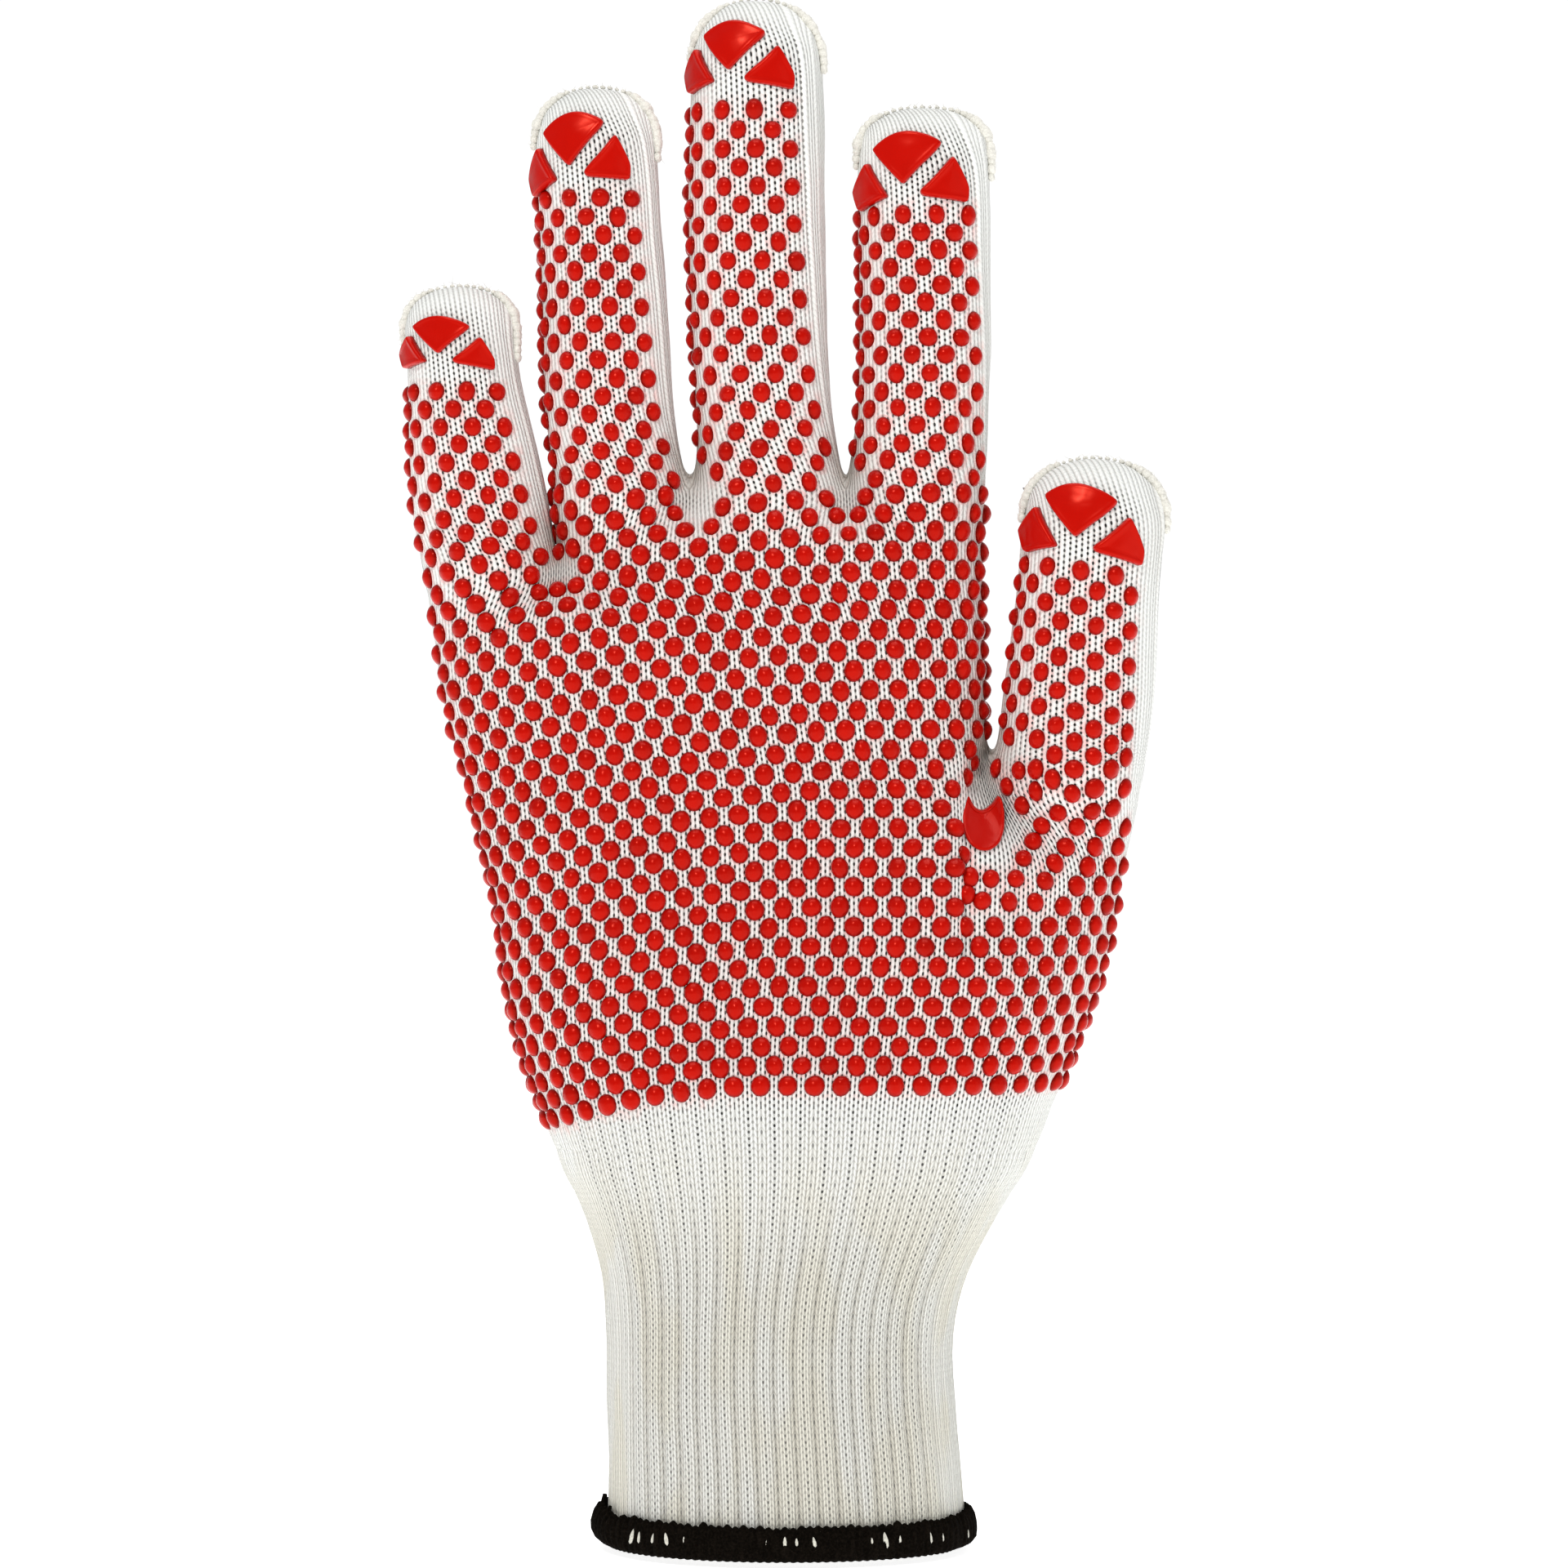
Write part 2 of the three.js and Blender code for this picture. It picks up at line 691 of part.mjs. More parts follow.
// The black overlocked edge: a U that wraps the end of the knit with a small gap all round.
function cuffEdge() {
  const loop = ringOf(loopAt(HAND, EDGE_BOTTOM));
  const rings = loop.map((point, i) => {
    const before = loop.at(i - 1);
    const after = loop[(i + 1) % loop.length];
    const along = after.clone().sub(before).normalize();
    const outward = new THREE.Vector3(along.y, -along.x, 0);
    return EDGE_SECTION.map(({ side, away, z }) => {
      const out = side > 0 ? away : -CUFF_WALL - away;
      return new THREE.Vector3(point.x, point.y, z).addScaledVector(outward, out);
    });
  });
  return ringsGeometry(rings, true);
}

// Outward normal of a fingertip's smooth surface, from points a small step either way.
const SLOPE_STEP = 0.02;

function tipNormal(part, angle, drop) {
  const at = (turn, depth) => tubePoint(tubeAt(part, part.tip - depth), turn);
  const across = at(angle + SLOPE_STEP, drop).sub(at(angle - SLOPE_STEP, drop));
  const up = at(angle, drop - SLOPE_STEP).sub(at(angle, drop + SLOPE_STEP));
  return across.cross(up).normalize();
}

// Point on a fingertip, lifted off its smooth surface.
function tipPoint(part, angle, drop, lift) {
  const point = tubePoint(tubeAt(part, part.tip - drop), angle);
  return point.addScaledVector(tipNormal(part, angle, drop), lift);
}

// A three-cornered pad on a fingertip, its first edge bulging upward.
function tipPad(part, corners, bulge, place) {
  const girth = tubeAt(part, part.tip - part.dome).a;
  const rows = [];
  const points = [];
  for (const lift of [GAP, GAP + PAD_THICKNESS]) {
    for (let i = 0; i <= PAD_GRID; i += 1) {
      const row = [];
      for (let j = 0; j <= PAD_GRID - i; j += 1) {
        const c = i / PAD_GRID;
        const b = j / PAD_GRID;
        const a = 1 - b - c;
        const angle = a * corners[0].angle + b * corners[1].angle + c * corners[2].angle;
        const level = a * corners[0].drop + b * corners[1].drop + c * corners[2].drop;
        const sunk = place.slope * THREE.MathUtils.degToRad(angle) * girth;
        const drop = place.moved + place.drawn * (level - 4 * a * b * bulge) + sunk;
        points.push(tipPoint(part, THREE.MathUtils.degToRad(place.axis + angle), drop, lift));
        row.push(points.length - 1);
      }
      rows.push(row);
    }
  }
  const under = rows.slice(0, PAD_GRID + 1);
  const over = rows.slice(PAD_GRID + 1);
  const faces = [];
  for (let i = 0; i < PAD_GRID; i += 1) {
    for (let j = 0; j < over[i].length - 1; j += 1) {
      faces.push([over[i][j], over[i + 1][j], over[i][j + 1]]);
      faces.push([under[i][j], under[i][j + 1], under[i + 1][j]]);
      if (j < over[i + 1].length - 1) {
        faces.push([over[i + 1][j], over[i + 1][j + 1], over[i][j + 1]]);
        faces.push([under[i + 1][j], under[i][j + 1], under[i + 1][j + 1]]);
      }
    }
  }
  const border = (layer) => [
    ...layer[0],
    ...layer.slice(1).map((row) => row.at(-1)),
    ...layer.slice(1, -1).map((row) => row[0]).toReversed(),
  ];
  const low = border(under);
  const high = border(over);
  low.forEach((index, i) => {
    const next = (i + 1) % low.length;
    faces.push([index, high[i], high[next], low[next]]);
  });
  return outwardGeometry(points, faces);
}

// Turns a closed body's faces outward.
function outwardGeometry(points, faces) {
  const volume = faces.flatMap((face) => cutFace(points, face)).reduce((sum, [a, b, c]) => (
    sum + points[a].dot(points[b].clone().cross(points[c]))
  ), 0);
  return geometryOf(points, volume > 0 ? faces : faces.map((face) => face.toReversed()));
}

// The cream ridge where a fingertip is closed, over the top from side to side.
function tipRidge(part) {
  const lift = GAP + RIDGE_HEIGHT / 2;
  const side = (name) => {
    const turn = THREE.MathUtils.degToRad(RIDGE_ANGLES[name]);
    return RIDGE_DROPS[name].map((drop) => ({ turn, drop }));
  };
  const stops = [...side('left'), ...side('right').reverse()];
  const path = stops.map(({ turn, drop }) => tipPoint(part, turn, drop, lift));
  const profile = Array.from({ length: RIDGE_SIDES }, (_, i) => (i / RIDGE_SIDES) * 2 * Math.PI);
  const rings = path.map((point, i) => {
    const out = tipNormal(part, stops[i].turn, stops[i].drop);
    const along = path[Math.min(i + 1, path.length - 1)].clone().sub(path[Math.max(i - 1, 0)]);
    const side = along.cross(out).normalize();
    return profile.map((turn) => point.clone()
      .addScaledVector(side, (Math.cos(turn) * RIDGE_WIDTH) / 2)
      .addScaledVector(out, (Math.sin(turn) * RIDGE_HEIGHT) / 2));
  });
  return ringsGeometry(rings, false);
}

// Depth of the palm surface at a point of the palm plane, read from the knit's own faces.
function palmDepth(x, z) {
  let depth = 0;
  for (const face of cage.faces) {
    for (const [a, b, c] of cutFace(cage.points, face)) {
      const [p, q, r] = [a, b, c].map((index) => cage.points[index]);
      const area = (q.x - p.x) * (r.z - p.z) - (r.x - p.x) * (q.z - p.z);
      const u = ((q.x - x) * (r.z - z) - (r.x - x) * (q.z - z)) / area;
      const v = ((r.x - x) * (p.z - z) - (p.x - x) * (r.z - z)) / area;
      if (area > 0 && u >= 0 && v >= 0 && u + v <= 1) {
        depth = Math.min(depth, p.y * u + q.y * v + r.y * (1 - u - v));
      }
    }
  }
  return depth;
}

function crotchPad() {
  const shape = CROTCH_PAD.map(({ x, z }) => new THREE.Vector2(x, z));
  const triangles = THREE.ShapeUtils.triangulateShape(shape, []);
  const lifts = [CROTCH_PAD_LIFT, CROTCH_PAD_LIFT + PAD_THICKNESS];
  const points = lifts.flatMap((lift) => CROTCH_PAD.map(({ x, z }) => (
    new THREE.Vector3(x, palmDepth(x, z) - lift, z)
  )));
  const size = CROTCH_PAD.length;
  const faces = triangles.map((face) => face.map((index) => index + size));
  faces.push(...triangles.map((face) => face.toReversed()));
  for (let i = 0; i < size; i += 1) {
    const next = (i + 1) % size;
    faces.push([i, next, next + size, i + size]);
  }
  return outwardGeometry(points, faces);
}

const knitMaterial = new THREE.MeshStandardMaterial({ color: COLOURS.knit, roughness: 0.95 });
const edgeMaterial = new THREE.MeshStandardMaterial({ color: COLOURS.edge, roughness: 0.9 });
const ridgeMaterial = new THREE.MeshStandardMaterial({ color: COLOURS.ridge, roughness: 0.95 });
const gripMaterial = new THREE.MeshStandardMaterial({ color: COLOURS.grip, roughness: 0.28 });

const group = new THREE.Group();

function addMesh(name, geometry, material) {
  const mesh = new THREE.Mesh(geometry, material);
  mesh.name = name;
  group.add(mesh);
}

addMesh('knit_shell', knitShell(), knitMaterial);
addMesh('thumb_crotch_pad', crotchPad(), gripMaterial);
addMesh('cuff_edge', cuffEdge(), edgeMaterial);
for (const [name, part] of Object.entries(DIGITS)) {
  addMesh(`fingertip_seam_${name}`, tipRidge(part), ridgeMaterial);
  for (const [place, corners] of Object.entries(PAD_CORNERS)) {
    const geometry = tipPad(part, corners, PAD_BULGE[place], PAD_PLACES[name]);
    addMesh(`pad_${name}_${place}`, geometry, gripMaterial);
  }
}

export default group;
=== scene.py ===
"""Knit work glove with a dotted palm: its surfaces and finishes, built round the fixed frame."""

import json
import math

import bmesh
import bpy
import numpy as np
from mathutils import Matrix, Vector, noise
from mathutils.bvhtree import BVHTree
from mathutils.kdtree import KDTree

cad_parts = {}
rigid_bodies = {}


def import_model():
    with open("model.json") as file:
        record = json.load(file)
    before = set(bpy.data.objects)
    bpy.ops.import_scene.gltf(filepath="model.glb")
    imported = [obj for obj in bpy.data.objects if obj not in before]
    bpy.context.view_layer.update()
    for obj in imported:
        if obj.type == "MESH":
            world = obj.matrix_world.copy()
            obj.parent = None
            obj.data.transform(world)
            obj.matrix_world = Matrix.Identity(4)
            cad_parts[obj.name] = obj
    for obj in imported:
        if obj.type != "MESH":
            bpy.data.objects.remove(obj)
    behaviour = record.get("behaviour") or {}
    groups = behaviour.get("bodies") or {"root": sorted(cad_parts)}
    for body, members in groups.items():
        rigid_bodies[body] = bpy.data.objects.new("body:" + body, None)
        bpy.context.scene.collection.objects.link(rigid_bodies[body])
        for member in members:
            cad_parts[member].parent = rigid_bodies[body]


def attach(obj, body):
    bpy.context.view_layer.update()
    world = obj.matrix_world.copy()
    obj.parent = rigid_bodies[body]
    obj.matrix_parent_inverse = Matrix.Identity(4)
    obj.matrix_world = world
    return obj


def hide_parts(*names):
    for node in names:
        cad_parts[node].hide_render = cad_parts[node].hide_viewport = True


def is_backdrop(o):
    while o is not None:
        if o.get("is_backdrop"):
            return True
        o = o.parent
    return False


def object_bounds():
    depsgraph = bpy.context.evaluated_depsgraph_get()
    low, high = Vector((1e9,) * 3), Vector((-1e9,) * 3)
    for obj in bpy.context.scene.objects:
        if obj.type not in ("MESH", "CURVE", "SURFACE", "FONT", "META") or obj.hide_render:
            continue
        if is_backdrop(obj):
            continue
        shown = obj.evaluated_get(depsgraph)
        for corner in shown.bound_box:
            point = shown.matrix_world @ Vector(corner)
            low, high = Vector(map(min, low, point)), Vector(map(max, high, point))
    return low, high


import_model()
CAD_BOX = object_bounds()

bl_info = {
    "name": "Dotted knit glove",
    "version": (1, 0, 0),
    "blender": (4, 5, 0),
    "location": "3D View > Sidebar > Glove",
    "description": "Builds the knit, grip dots, pads, seams and edge of a work glove",
    "category": "Add Mesh",
}

MM = 0.001
TURN = 2 * math.pi

# The hand, in millimetres from the centre of the cuff mouth: +Z to the fingertips, the dotted
# palm toward -Y, the thumb toward +X. left and right are the limbs seen from the palm, depth is
# palm to back, centre is the middle of the depth, square is the superellipse power of a section,
# front is the share of the wales' width on the palm side, twist is how far the knit has turned
# leftward round a digit, in degrees.
PLAIN_COLUMNS = ("square", "front", "twist", "angle")


def table(columns, *rows):
    """One array for each column. Lengths are turned from millimetres to metres."""
    return {
        name: np.array([row[i] for row in rows], float) * (1 if name in PLAIN_COLUMNS else MM)
        for i, name in enumerate(columns)
    }


BODY_COLUMNS = ("z", "left", "right", "depth", "centre", "square", "front")
DIGIT_COLUMNS = ("z", "left", "right", "depth", "centre", "twist")

HAND_SECTIONS = table(
    BODY_COLUMNS,
    (0.9, -28.6, 29.6, 43.5, 0, 2.05, 1.1),
    (20, -28.6, 28.1, 42, 0, 2.05, 1.1),
    (33, -29.1, 27.4, 41, 0, 2.05, 1.1),
    (42, -29.4, 29.2, 41, 0, 2.1, 1.09),
    (51, -31.7, 33.6, 41.5, 0, 2.15, 1.1),
    (62, -36.1, 39.7, 42, 0, 2.2, 1.1),
    (72.5, -40.3, 44.2, 41.5, 0, 2.3, 1.09),
    (83, -43.7, 48.3, 40, 0, 2.4, 1.08),
    (94, -45.6, 52.2, 38, 0, 2.45, 1.06),
    (104, -46.9, 54.2, 36, 0, 2.5, 1.04),
    (115, -49.7, 56.3, 34, -0.5, 2.5, 1.03),
    (126, -52.2, 58.2, 32, -1, 2.5, 1.02),
    (134, -54, 59, 31, -1, 2.5, 1.02),
)
PALM_SECTIONS = table(
    BODY_COLUMNS,
    (104, -46.9, 34, 35, 0, 2.5, 1.04),
    (115, -49.7, 33.5, 33.5, 0, 2.5, 1.03),
    (126, -52.2, 33, 32, 0, 2.5, 1.02),
    (136, -55.2, 32.6, 31, 0, 2.5, 1.02),
    (147, -56.7, 32.4, 30, 0, 2.5, 1.01),
    (157.5, -58.4, 32.1, 28.5, 0, 2.45, 1),
    (166, -60, 32.2, 27, 0, 2.4, 1),
)
KNUCKLE_SECTIONS = table(
    BODY_COLUMNS,
    (146, -36.8, 32.4, 29, 0, 2.5, 0.97),
    (158, -36.6, 32.1, 27.5, 0, 2.5, 0.98),
    (166, -37.1, 32.2, 25.5, 0, 2.4, 1),
    (172, -37.4, 32.5, 24.5, 0, 2.4, 1),
)
DIGIT_SQUARE = 2.15

# What each digit adds to its sections: tip height, length of the rounded tip, how blunt it is,
# rows of the mesh, top of its dots, pace of its rows of knit against the glove's and its first
# strip of knit. pads says where its pads sit: turn of their axis round it in degrees, how far they
# are moved down it, how much they are drawn out along it and their slope toward the thumb side.
DIGITS = {
    "little": {
        "tip": 203.4 * MM,
        "dome": 11 * MM,
        "blunt": 3.6,
        "rows": (163, 168, 176, 184),
        "dots_top": 188.3 * MM,
        "pace": 0.9,
        "pads": (-19, 1.9 * MM, 0.78, 0.06),
        "first": 0,
        "last_wale": 14.6,
        "sections": table(
            DIGIT_COLUMNS,
            (150, -57.2, -36.2, 24, 0, 0),
            (158, -58.5, -37, 21.5, 0, 0),
            (166, -60.2, -37.9, 19.5, 0, 12),
            (178, -61, -40, 18.5, -0.5, 20),
            (190, -61.2, -43, 17.5, -1, 22),
            (203.4, -61.9, -42.9, 17, -1.5, 24),
        ),
    },
    "ring": {
        "tip": 235.7 * MM,
        "dome": 11 * MM,
        "blunt": 2.7,
        "rows": (175, 182, 192, 203, 214),
        "dots_top": 217.4 * MM,
        "pace": 0.93,
        "pads": (-22, 0.1 * MM, 1.11, -0.1),
        "first": 1,
        "last_wale": 14.6,
        "sections": table(
            DIGIT_COLUMNS,
            (158, -36.6, -15.6, 26, 0, 0),
            (170.3, -37.4, -16.2, 21.5, 0, 0),
            (177, -37.9, -16.8, 20.5, 0, 12),
            (184, -38.9, -17.9, 20, 0, 18),
            (197, -39.3, -18.6, 19, -0.5, 23),
            (210.5, -39.5, -19.5, 18.5, -0.5, 26),
            (221, -40.3, -20.4, 18, -1, 28),
            (235.7, -40.3, -20.4, 17.5, -1, 29),
        ),
    },
    "middle": {
        "tip": 250 * MM,
        "dome": 11 * MM,
        "blunt": 2.1,
        "rows": (175, 182, 192, 204, 216, 228),
        "dots_top": 233.2 * MM,
        "pace": 0.975,
        "pads": (-23, 0, 1.03, 0.02),
        "first": 2,
        "last_wale": 14.6,
        "sections": table(
            DIGIT_COLUMNS,
            (158, -15.2, 10, 26, 0, 0),
            (170.3, -14.4, 9.5, 22.5, 0, 0),
            (177, -14.2, 8.8, 21.5, 0, 12),
            (184, -14.3, 7.8, 21, 0, 20),
            (196, -15.1, 7.2, 20, -0.5, 27),
            (208, -15.5, 6.9, 19.5, -0.5, 31),
            (221, -15.5, 6.8, 19, -1, 35),
            (237, -15.1, 6.5, 18.5, -1, 39),
            (250, -15.1, 6.3, 18, -1, 42),
        ),
    },
    "index": {
        "tip": 232.5 * MM,
        "dome": 11 * MM,
        "blunt": 3.6,
        "rows": (175, 182, 192, 203, 213),
        "dots_top": 215 * MM,
        "pace": 0.91,
        "pads": (-17.5, 0, 1.1, -0.03),
        "first": 3,
        "last_wale": 15.1,
        "sections": table(
            DIGIT_COLUMNS,
            (158, 10.4, 32.2, 26, 0, 0),
            (170.3, 10.6, 32.5, 22, 0, 0),
            (177, 10.9, 32.9, 21, 0, 11),
            (184, 11.7, 33.3, 20.5, 0, 18),
            (196, 12.1, 33.6, 19.5, -0.5, 24),
            (218, 11.9, 33.6, 18.5, -1, 32),
            (232.5, 11.9, 33.4, 18, -1, 36),
        ),
    },
    "thumb": {
        "tip": 175.3 * MM,
        "dome": 12 * MM,
        "blunt": 2.8,
        "rows": (130.5, 137, 146, 155),
        "dots_top": 159.4 * MM,
        "pace": 0.89,
        "front": 0.93,
        "pads": (-15.5, -0.2 * MM, 1.09, 0.14),
        "first": 4,
        "last_wale": 13.4,
        "sections": table(
            DIGIT_COLUMNS,
            (106, 31.8, 54.6, 32, -2, 0),
            (118, 33.3, 56.9, 28, -3, 0),
            (125.5, 34.3, 58.1, 25.5, -3.5, 0),
            (131, 34.8, 59, 24, -4, 3),
            (141.5, 36.1, 60.1, 22.5, -4.5, 7),
            (152, 37.4, 60.5, 21.5, -5, 10),
            (164, 38.3, 61.6, 21, -5.5, 12),
            (175.3, 38.3, 61.6, 20.5, -5.5, 14),
        ),
    },
}

# Hills and hollows of the palm: place, reach across and up, and height toward the palm side.
PALM_RELIEF = table(
    ("x", "z", "across", "up", "height"),
    (34, 92, 17, 27, 5),
    (-33, 84, 13, 27, 2.5),
    (-2, 100, 16, 24, -2.5),
)

# The knit's columns of wales. A strip is the run of columns that belongs to one digit, on the
# palm and on the back alike. The sides are the wales from the palm's last column to the back's
# first one at an outer limb and in a crotch. The back counts down from its last wale.
STRIP_COLUMNS = 5
WALES_PER_COLUMN = 3.2
STRIP_WALES = STRIP_COLUMNS * WALES_PER_COLUMN
OUTER_SIDE = 0.5
CROTCH_SIDE = 1
BACK_WALES = 161
OUTLINE_STEPS = 360

# The rounded tips: shares of the way up to the closing line where the mesh has rows, how far
# that line reaches toward the limbs, and how far the limbs' own wales are drawn to its ends.
TIP_ROWS = (0.28, 0.53, 0.76, 0.92)
TIP_GATHER = 0.97
TIP_LIMB_DRAW = 0.7

# The cuff: its mouth and rows of mesh, the finer columns of its ribs, its top, where the ribs
# fade out upward, and the band over which their fine columns are moved to their even places.
MOUTH = 0.9 * MM
MOUTH_COURSE = 1
CUFF_ROWS = (14, 27, 39, 48, 57, 64)
CUFF_SPLITS = 3
CUFF_TOP = 51 * MM
CUFF_TOP_EASE = 6 * MM
RIB_WALES = 3
RIB_FADE = 26 * MM
RIB_END = 62 * MM
EVEN_LOW = 50 * MM
EVEN_TOP = 75 * MM
EVEN_EASE = 5 * MM

# Section of a rib, in wales from the groove beside it: where the groove and the shallow saddle
# along the middle of the rib start and over how far they ease, the saddle's depth as a share of
# the groove's, and the ribs' depth at the limbs as a share of the depth that faces outward.
GROOVE_START = 0.95
GROOVE_EASE = 0.7
SADDLE_START = 1.1
SADDLE_EASE = 0.4
SADDLE_DEPTH = 0.22
RIBS_AT_LIMBS = 0.35

# Small unevenness of the fabric, how finely its two sides are subdivided, the part number of
# what is inside, and how far the stitches gape there.
UNEVEN_REACH = 9 * MM
UNEVEN_HEIGHT = 0.22 * MM
OUTER_LEVELS = 2
INNER_LEVELS = 1
INSIDE = -1
INSIDE_OPEN = 0.3


def digit(name, sides):
    """A digit as the last tube of a branch."""
    return {"name": name, "strips": 1, "sides": sides, "children": (), **DIGITS[name]}


# The hand as a tree of tubes. web is the width of a crotch from palm to back, rise is how far its
# middle stands above its corners, blend is the height over which its creases grow.
HAND = {
    "name": "hand",
    "strips": 5,
    "first": 0,
    "pace": 1.025,
    "sections": HAND_SECTIONS,
    "rows": (71, 78, 86, 94, 102, 109, 115, 120.5),
    "top": 125.5 * MM,
    "blend": 17 * MM,
    "web": 13 * MM,
    "rise": 3.4 * MM,
    "sides": (OUTER_SIDE, OUTER_SIDE),
    "children": (
        {
            "name": "palm",
            "strips": 4,
            "first": 0,
            "pace": 1.05,
            "sections": PALM_SECTIONS,
            "rows": (131, 137, 143, 149, 153.5),
            "top": 158 * MM,
            "blend": 11 * MM,
            "web": 11 * MM,
            "rise": 3.4 * MM,
            "sides": (OUTER_SIDE, CROTCH_SIDE),
            "children": (
                digit("little", (OUTER_SIDE, CROTCH_SIDE)),
                {
                    "name": "knuckles",
                    "strips": 3,
                    "first": 1,
                    "sections": KNUCKLE_SECTIONS,
                    "rows": (162.5, 167),
                    "top": 170.3 * MM,
                    "blend": 10 * MM,
                    "web": 11 * MM,
                    "rise": 3.3 * MM,
                    "sides": (CROTCH_SIDE, CROTCH_SIDE),
                    "children": (
                        digit("ring", (CROTCH_SIDE, CROTCH_SIDE)),
                        digit("middle", (CROTCH_SIDE, CROTCH_SIDE)),
                        digit("index", (CROTCH_SIDE, CROTCH_SIDE)),
                    ),
                },
            ),
        },
        digit("thumb", (CROTCH_SIDE, OUTER_SIDE)),
    ),
}
PART_NAMES = ("hand", "palm", "knuckles", "little", "ring", "middle", "index", "thumb")

# Fingertip pads: angle round the digit from the pads' axis and depth below the tip.
PAD_CORNERS = {
    "tip": table(("angle", "drop"), (-30, 6.8), (31, 6.3), (0, 12.3)),
    "left": table(("angle", "drop"), (-49, 15.5), (-62, 12.3), (-37, 8.3), (-13, 13.8)),
    "right": table(("angle", "drop"), (39, 8), (54, 12.7), (53, 15), (15, 14), (12, 13.3)),
}
PAD_BOW = {"tip": 2.1 * MM, "left": 0, "right": 0.2 * MM}
PAD_SIDE_STEPS = 30
PAD_OUTLINE_POINTS = 96
PAD_CORNER_EASE = 0.5 * MM
PAD_MIDDLE_ROUNDS = 60
PAD_MIDDLE_CROWN = 0.9

# Where the pad at the thumb crotch reads the depth of the knit that it lies on, round each of its
# places, and how far it is lifted off that.
PAD_BED_ACROSS = (0, 1.5 * MM, 3 * MM)
PAD_BED_UP = (-1.5 * MM, 0, 1.5 * MM)
PAD_BED_LIFT = 0.3 * MM

# Rings of a pad from its foot over its raised rim to its middle: inset from the outline, share
# of the way out from the middle, and height as a share of the pad's thickness.
PAD_RINGS = (
    (0, 0.3, -0.45),
    (0, 0.7, -0.45),
    (-0.05 * MM, 1, -0.35),
    (0, 1, 0.3),
    (0.08 * MM, 1, 0.66),
    (0.22 * MM, 1, 0.9),
    (0.4 * MM, 1, 1.0),
    (0.6 * MM, 1, 1.0),
    (0.6 * MM, 0.92, 0.95),
    (0.6 * MM, 0.82, 0.91),
    (0.6 * MM, 0.6, 0.9),
    (0.6 * MM, 0.3, 0.93),
)

# The U pad below the thumb crotch, in the palm plane.
CROTCH_PAD = table(
    ("x", "z"),
    (29.5, 121.5),
    (28.8, 119.6),
    (28.5, 117.6),
    (28.6, 115.4),
    (29.4, 113.5),
    (31, 112.3),
    (32.9, 112.3),
    (34.5, 113.5),
    (35.3, 115.7),
    (35.4, 118.2),
    (35.1, 120.3),
    (34.3, 121.4),
    (33.5, 119.9),
    (32, 118.7),
    (30.9, 119),
    (30.3, 120),
    (29.9, 121.4),
)

# Bare places of the palm, without dots: centre and reach.
BARE_PLACES = table(
    ("x", "z", "across", "up"),
    (-14.4, 169.3, 2.8, 4),
    (9.6, 170.2, 2.8, 4),
    (-36.6, 157.5, 2, 2.6),
    (32.6, 118.5, 5.4, 9.6),
    (32.6, 128.8, 1.9, 2.4),
)

# Dots round the thumb crotch, where the folded knit breaks the even lattice of the print. Each
# takes the place of the lattice dots within its reach.
CROTCH_DOTS = table(
    ("x", "z", "reach"),
    (30.5, 126.5, 2.4),
    (29.4, 124, 2.4),
    (28.6, 111.6, 2.4),
    (29.6, 108.2, 2.4),
    (29, 105.4, 2.4),
    (34.2, 125.5, 3.3),
    (37.6, 125.1, 3.3),
    (42.8, 123.7, 3.3),
    (35.8, 122.5, 3.3),
    (40.2, 121.8, 3.3),
    (38.2, 119.5, 3.3),
    (43.7, 118.3, 3.3),
    (41.2, 116.3, 3.3),
    (39.8, 113.8, 3.3),
    (45, 112.9, 3.3),
    (38.2, 111.1, 3.3),
    (43.2, 110.3, 3.3),
    (32.9, 107.9, 3.3),
    (36.9, 107.9, 3.3),
    (41.6, 107.5, 3.3),
    (31.5, 104.4, 3.3),
    (35.8, 104.2, 3.3),
    (40, 104.1, 3.3),
    (45.9, 121.4, 2.6),
    (49.2, 118.6, 2.6),
    (46.8, 116.1, 2.6),
)
CROTCH_DOT_SIZE = 0.95

# The field of dots: its lower end and first course, how upright a stretch of knit has to be, in
# wales, the wales left bare at its limbs, those left bare beside the thumb by a height above the
# lower end, and those at a digit's left limb.
DOTS_END = 72.4 * MM
FIRST_DOT_COURSE = 71
UPRIGHT_WALES = 0.05
LIMB_BARE = 0.9
THUMB_SIDE_BARE = 2.6
THUMB_SIDE_CLIMB = 40 * MM
DIGIT_BARE = 0.4

# How the rows of knit sink leftward across the palm: their slope at the left limb, where they
# start to sink at the height of the lowest dots, how that start leans rightward with height,
# the reach from there to the limb, its least, and how it spreads with height, and over what
# heights the sinking fades out below the dots and into the fingers. On the thumb they sink
# rightward with an even slope from just below its crotch.
DROOP_SLOPE = 0.24
DROOP_START = -3 * MM
DROOP_LEAN = 0.42
DROOP_REACH = 24 * MM
DROOP_SPREAD = 0.82
DROOP_TOP = 158 * MM
DROOP_LEAST_REACH = DROOP_REACH / 3
DROOP_FADE = 28 * MM
DIGIT_DROOP_FADE = 22 * MM
THUMB_SLOPE = 0.15
THUMB_DROOP_START = 6 * MM
THUMB_DROOP_EASE = 25 * MM

# Rings of a dot from its foot to its crown: share of the radius and of the height.
DOT_RINGS = (
    (0.98, -0.3),
    (1, 0.05),
    (0.91, 0.32),
    (0.74, 0.58),
    (0.52, 0.79),
    (0.3, 0.92),
    (0.12, 0.98),
)
DOT_SIDES = 16
DIGIT_DOT_SIZE = 0.92
DOT_SPREAD = 0.035
DOT_ROUGHNESS = 0.012
DOT_LEAN = 0.06
DOT_TONE = 0.4
HALO_START = 2.6 * MM
HALO_EASE = 1 * MM

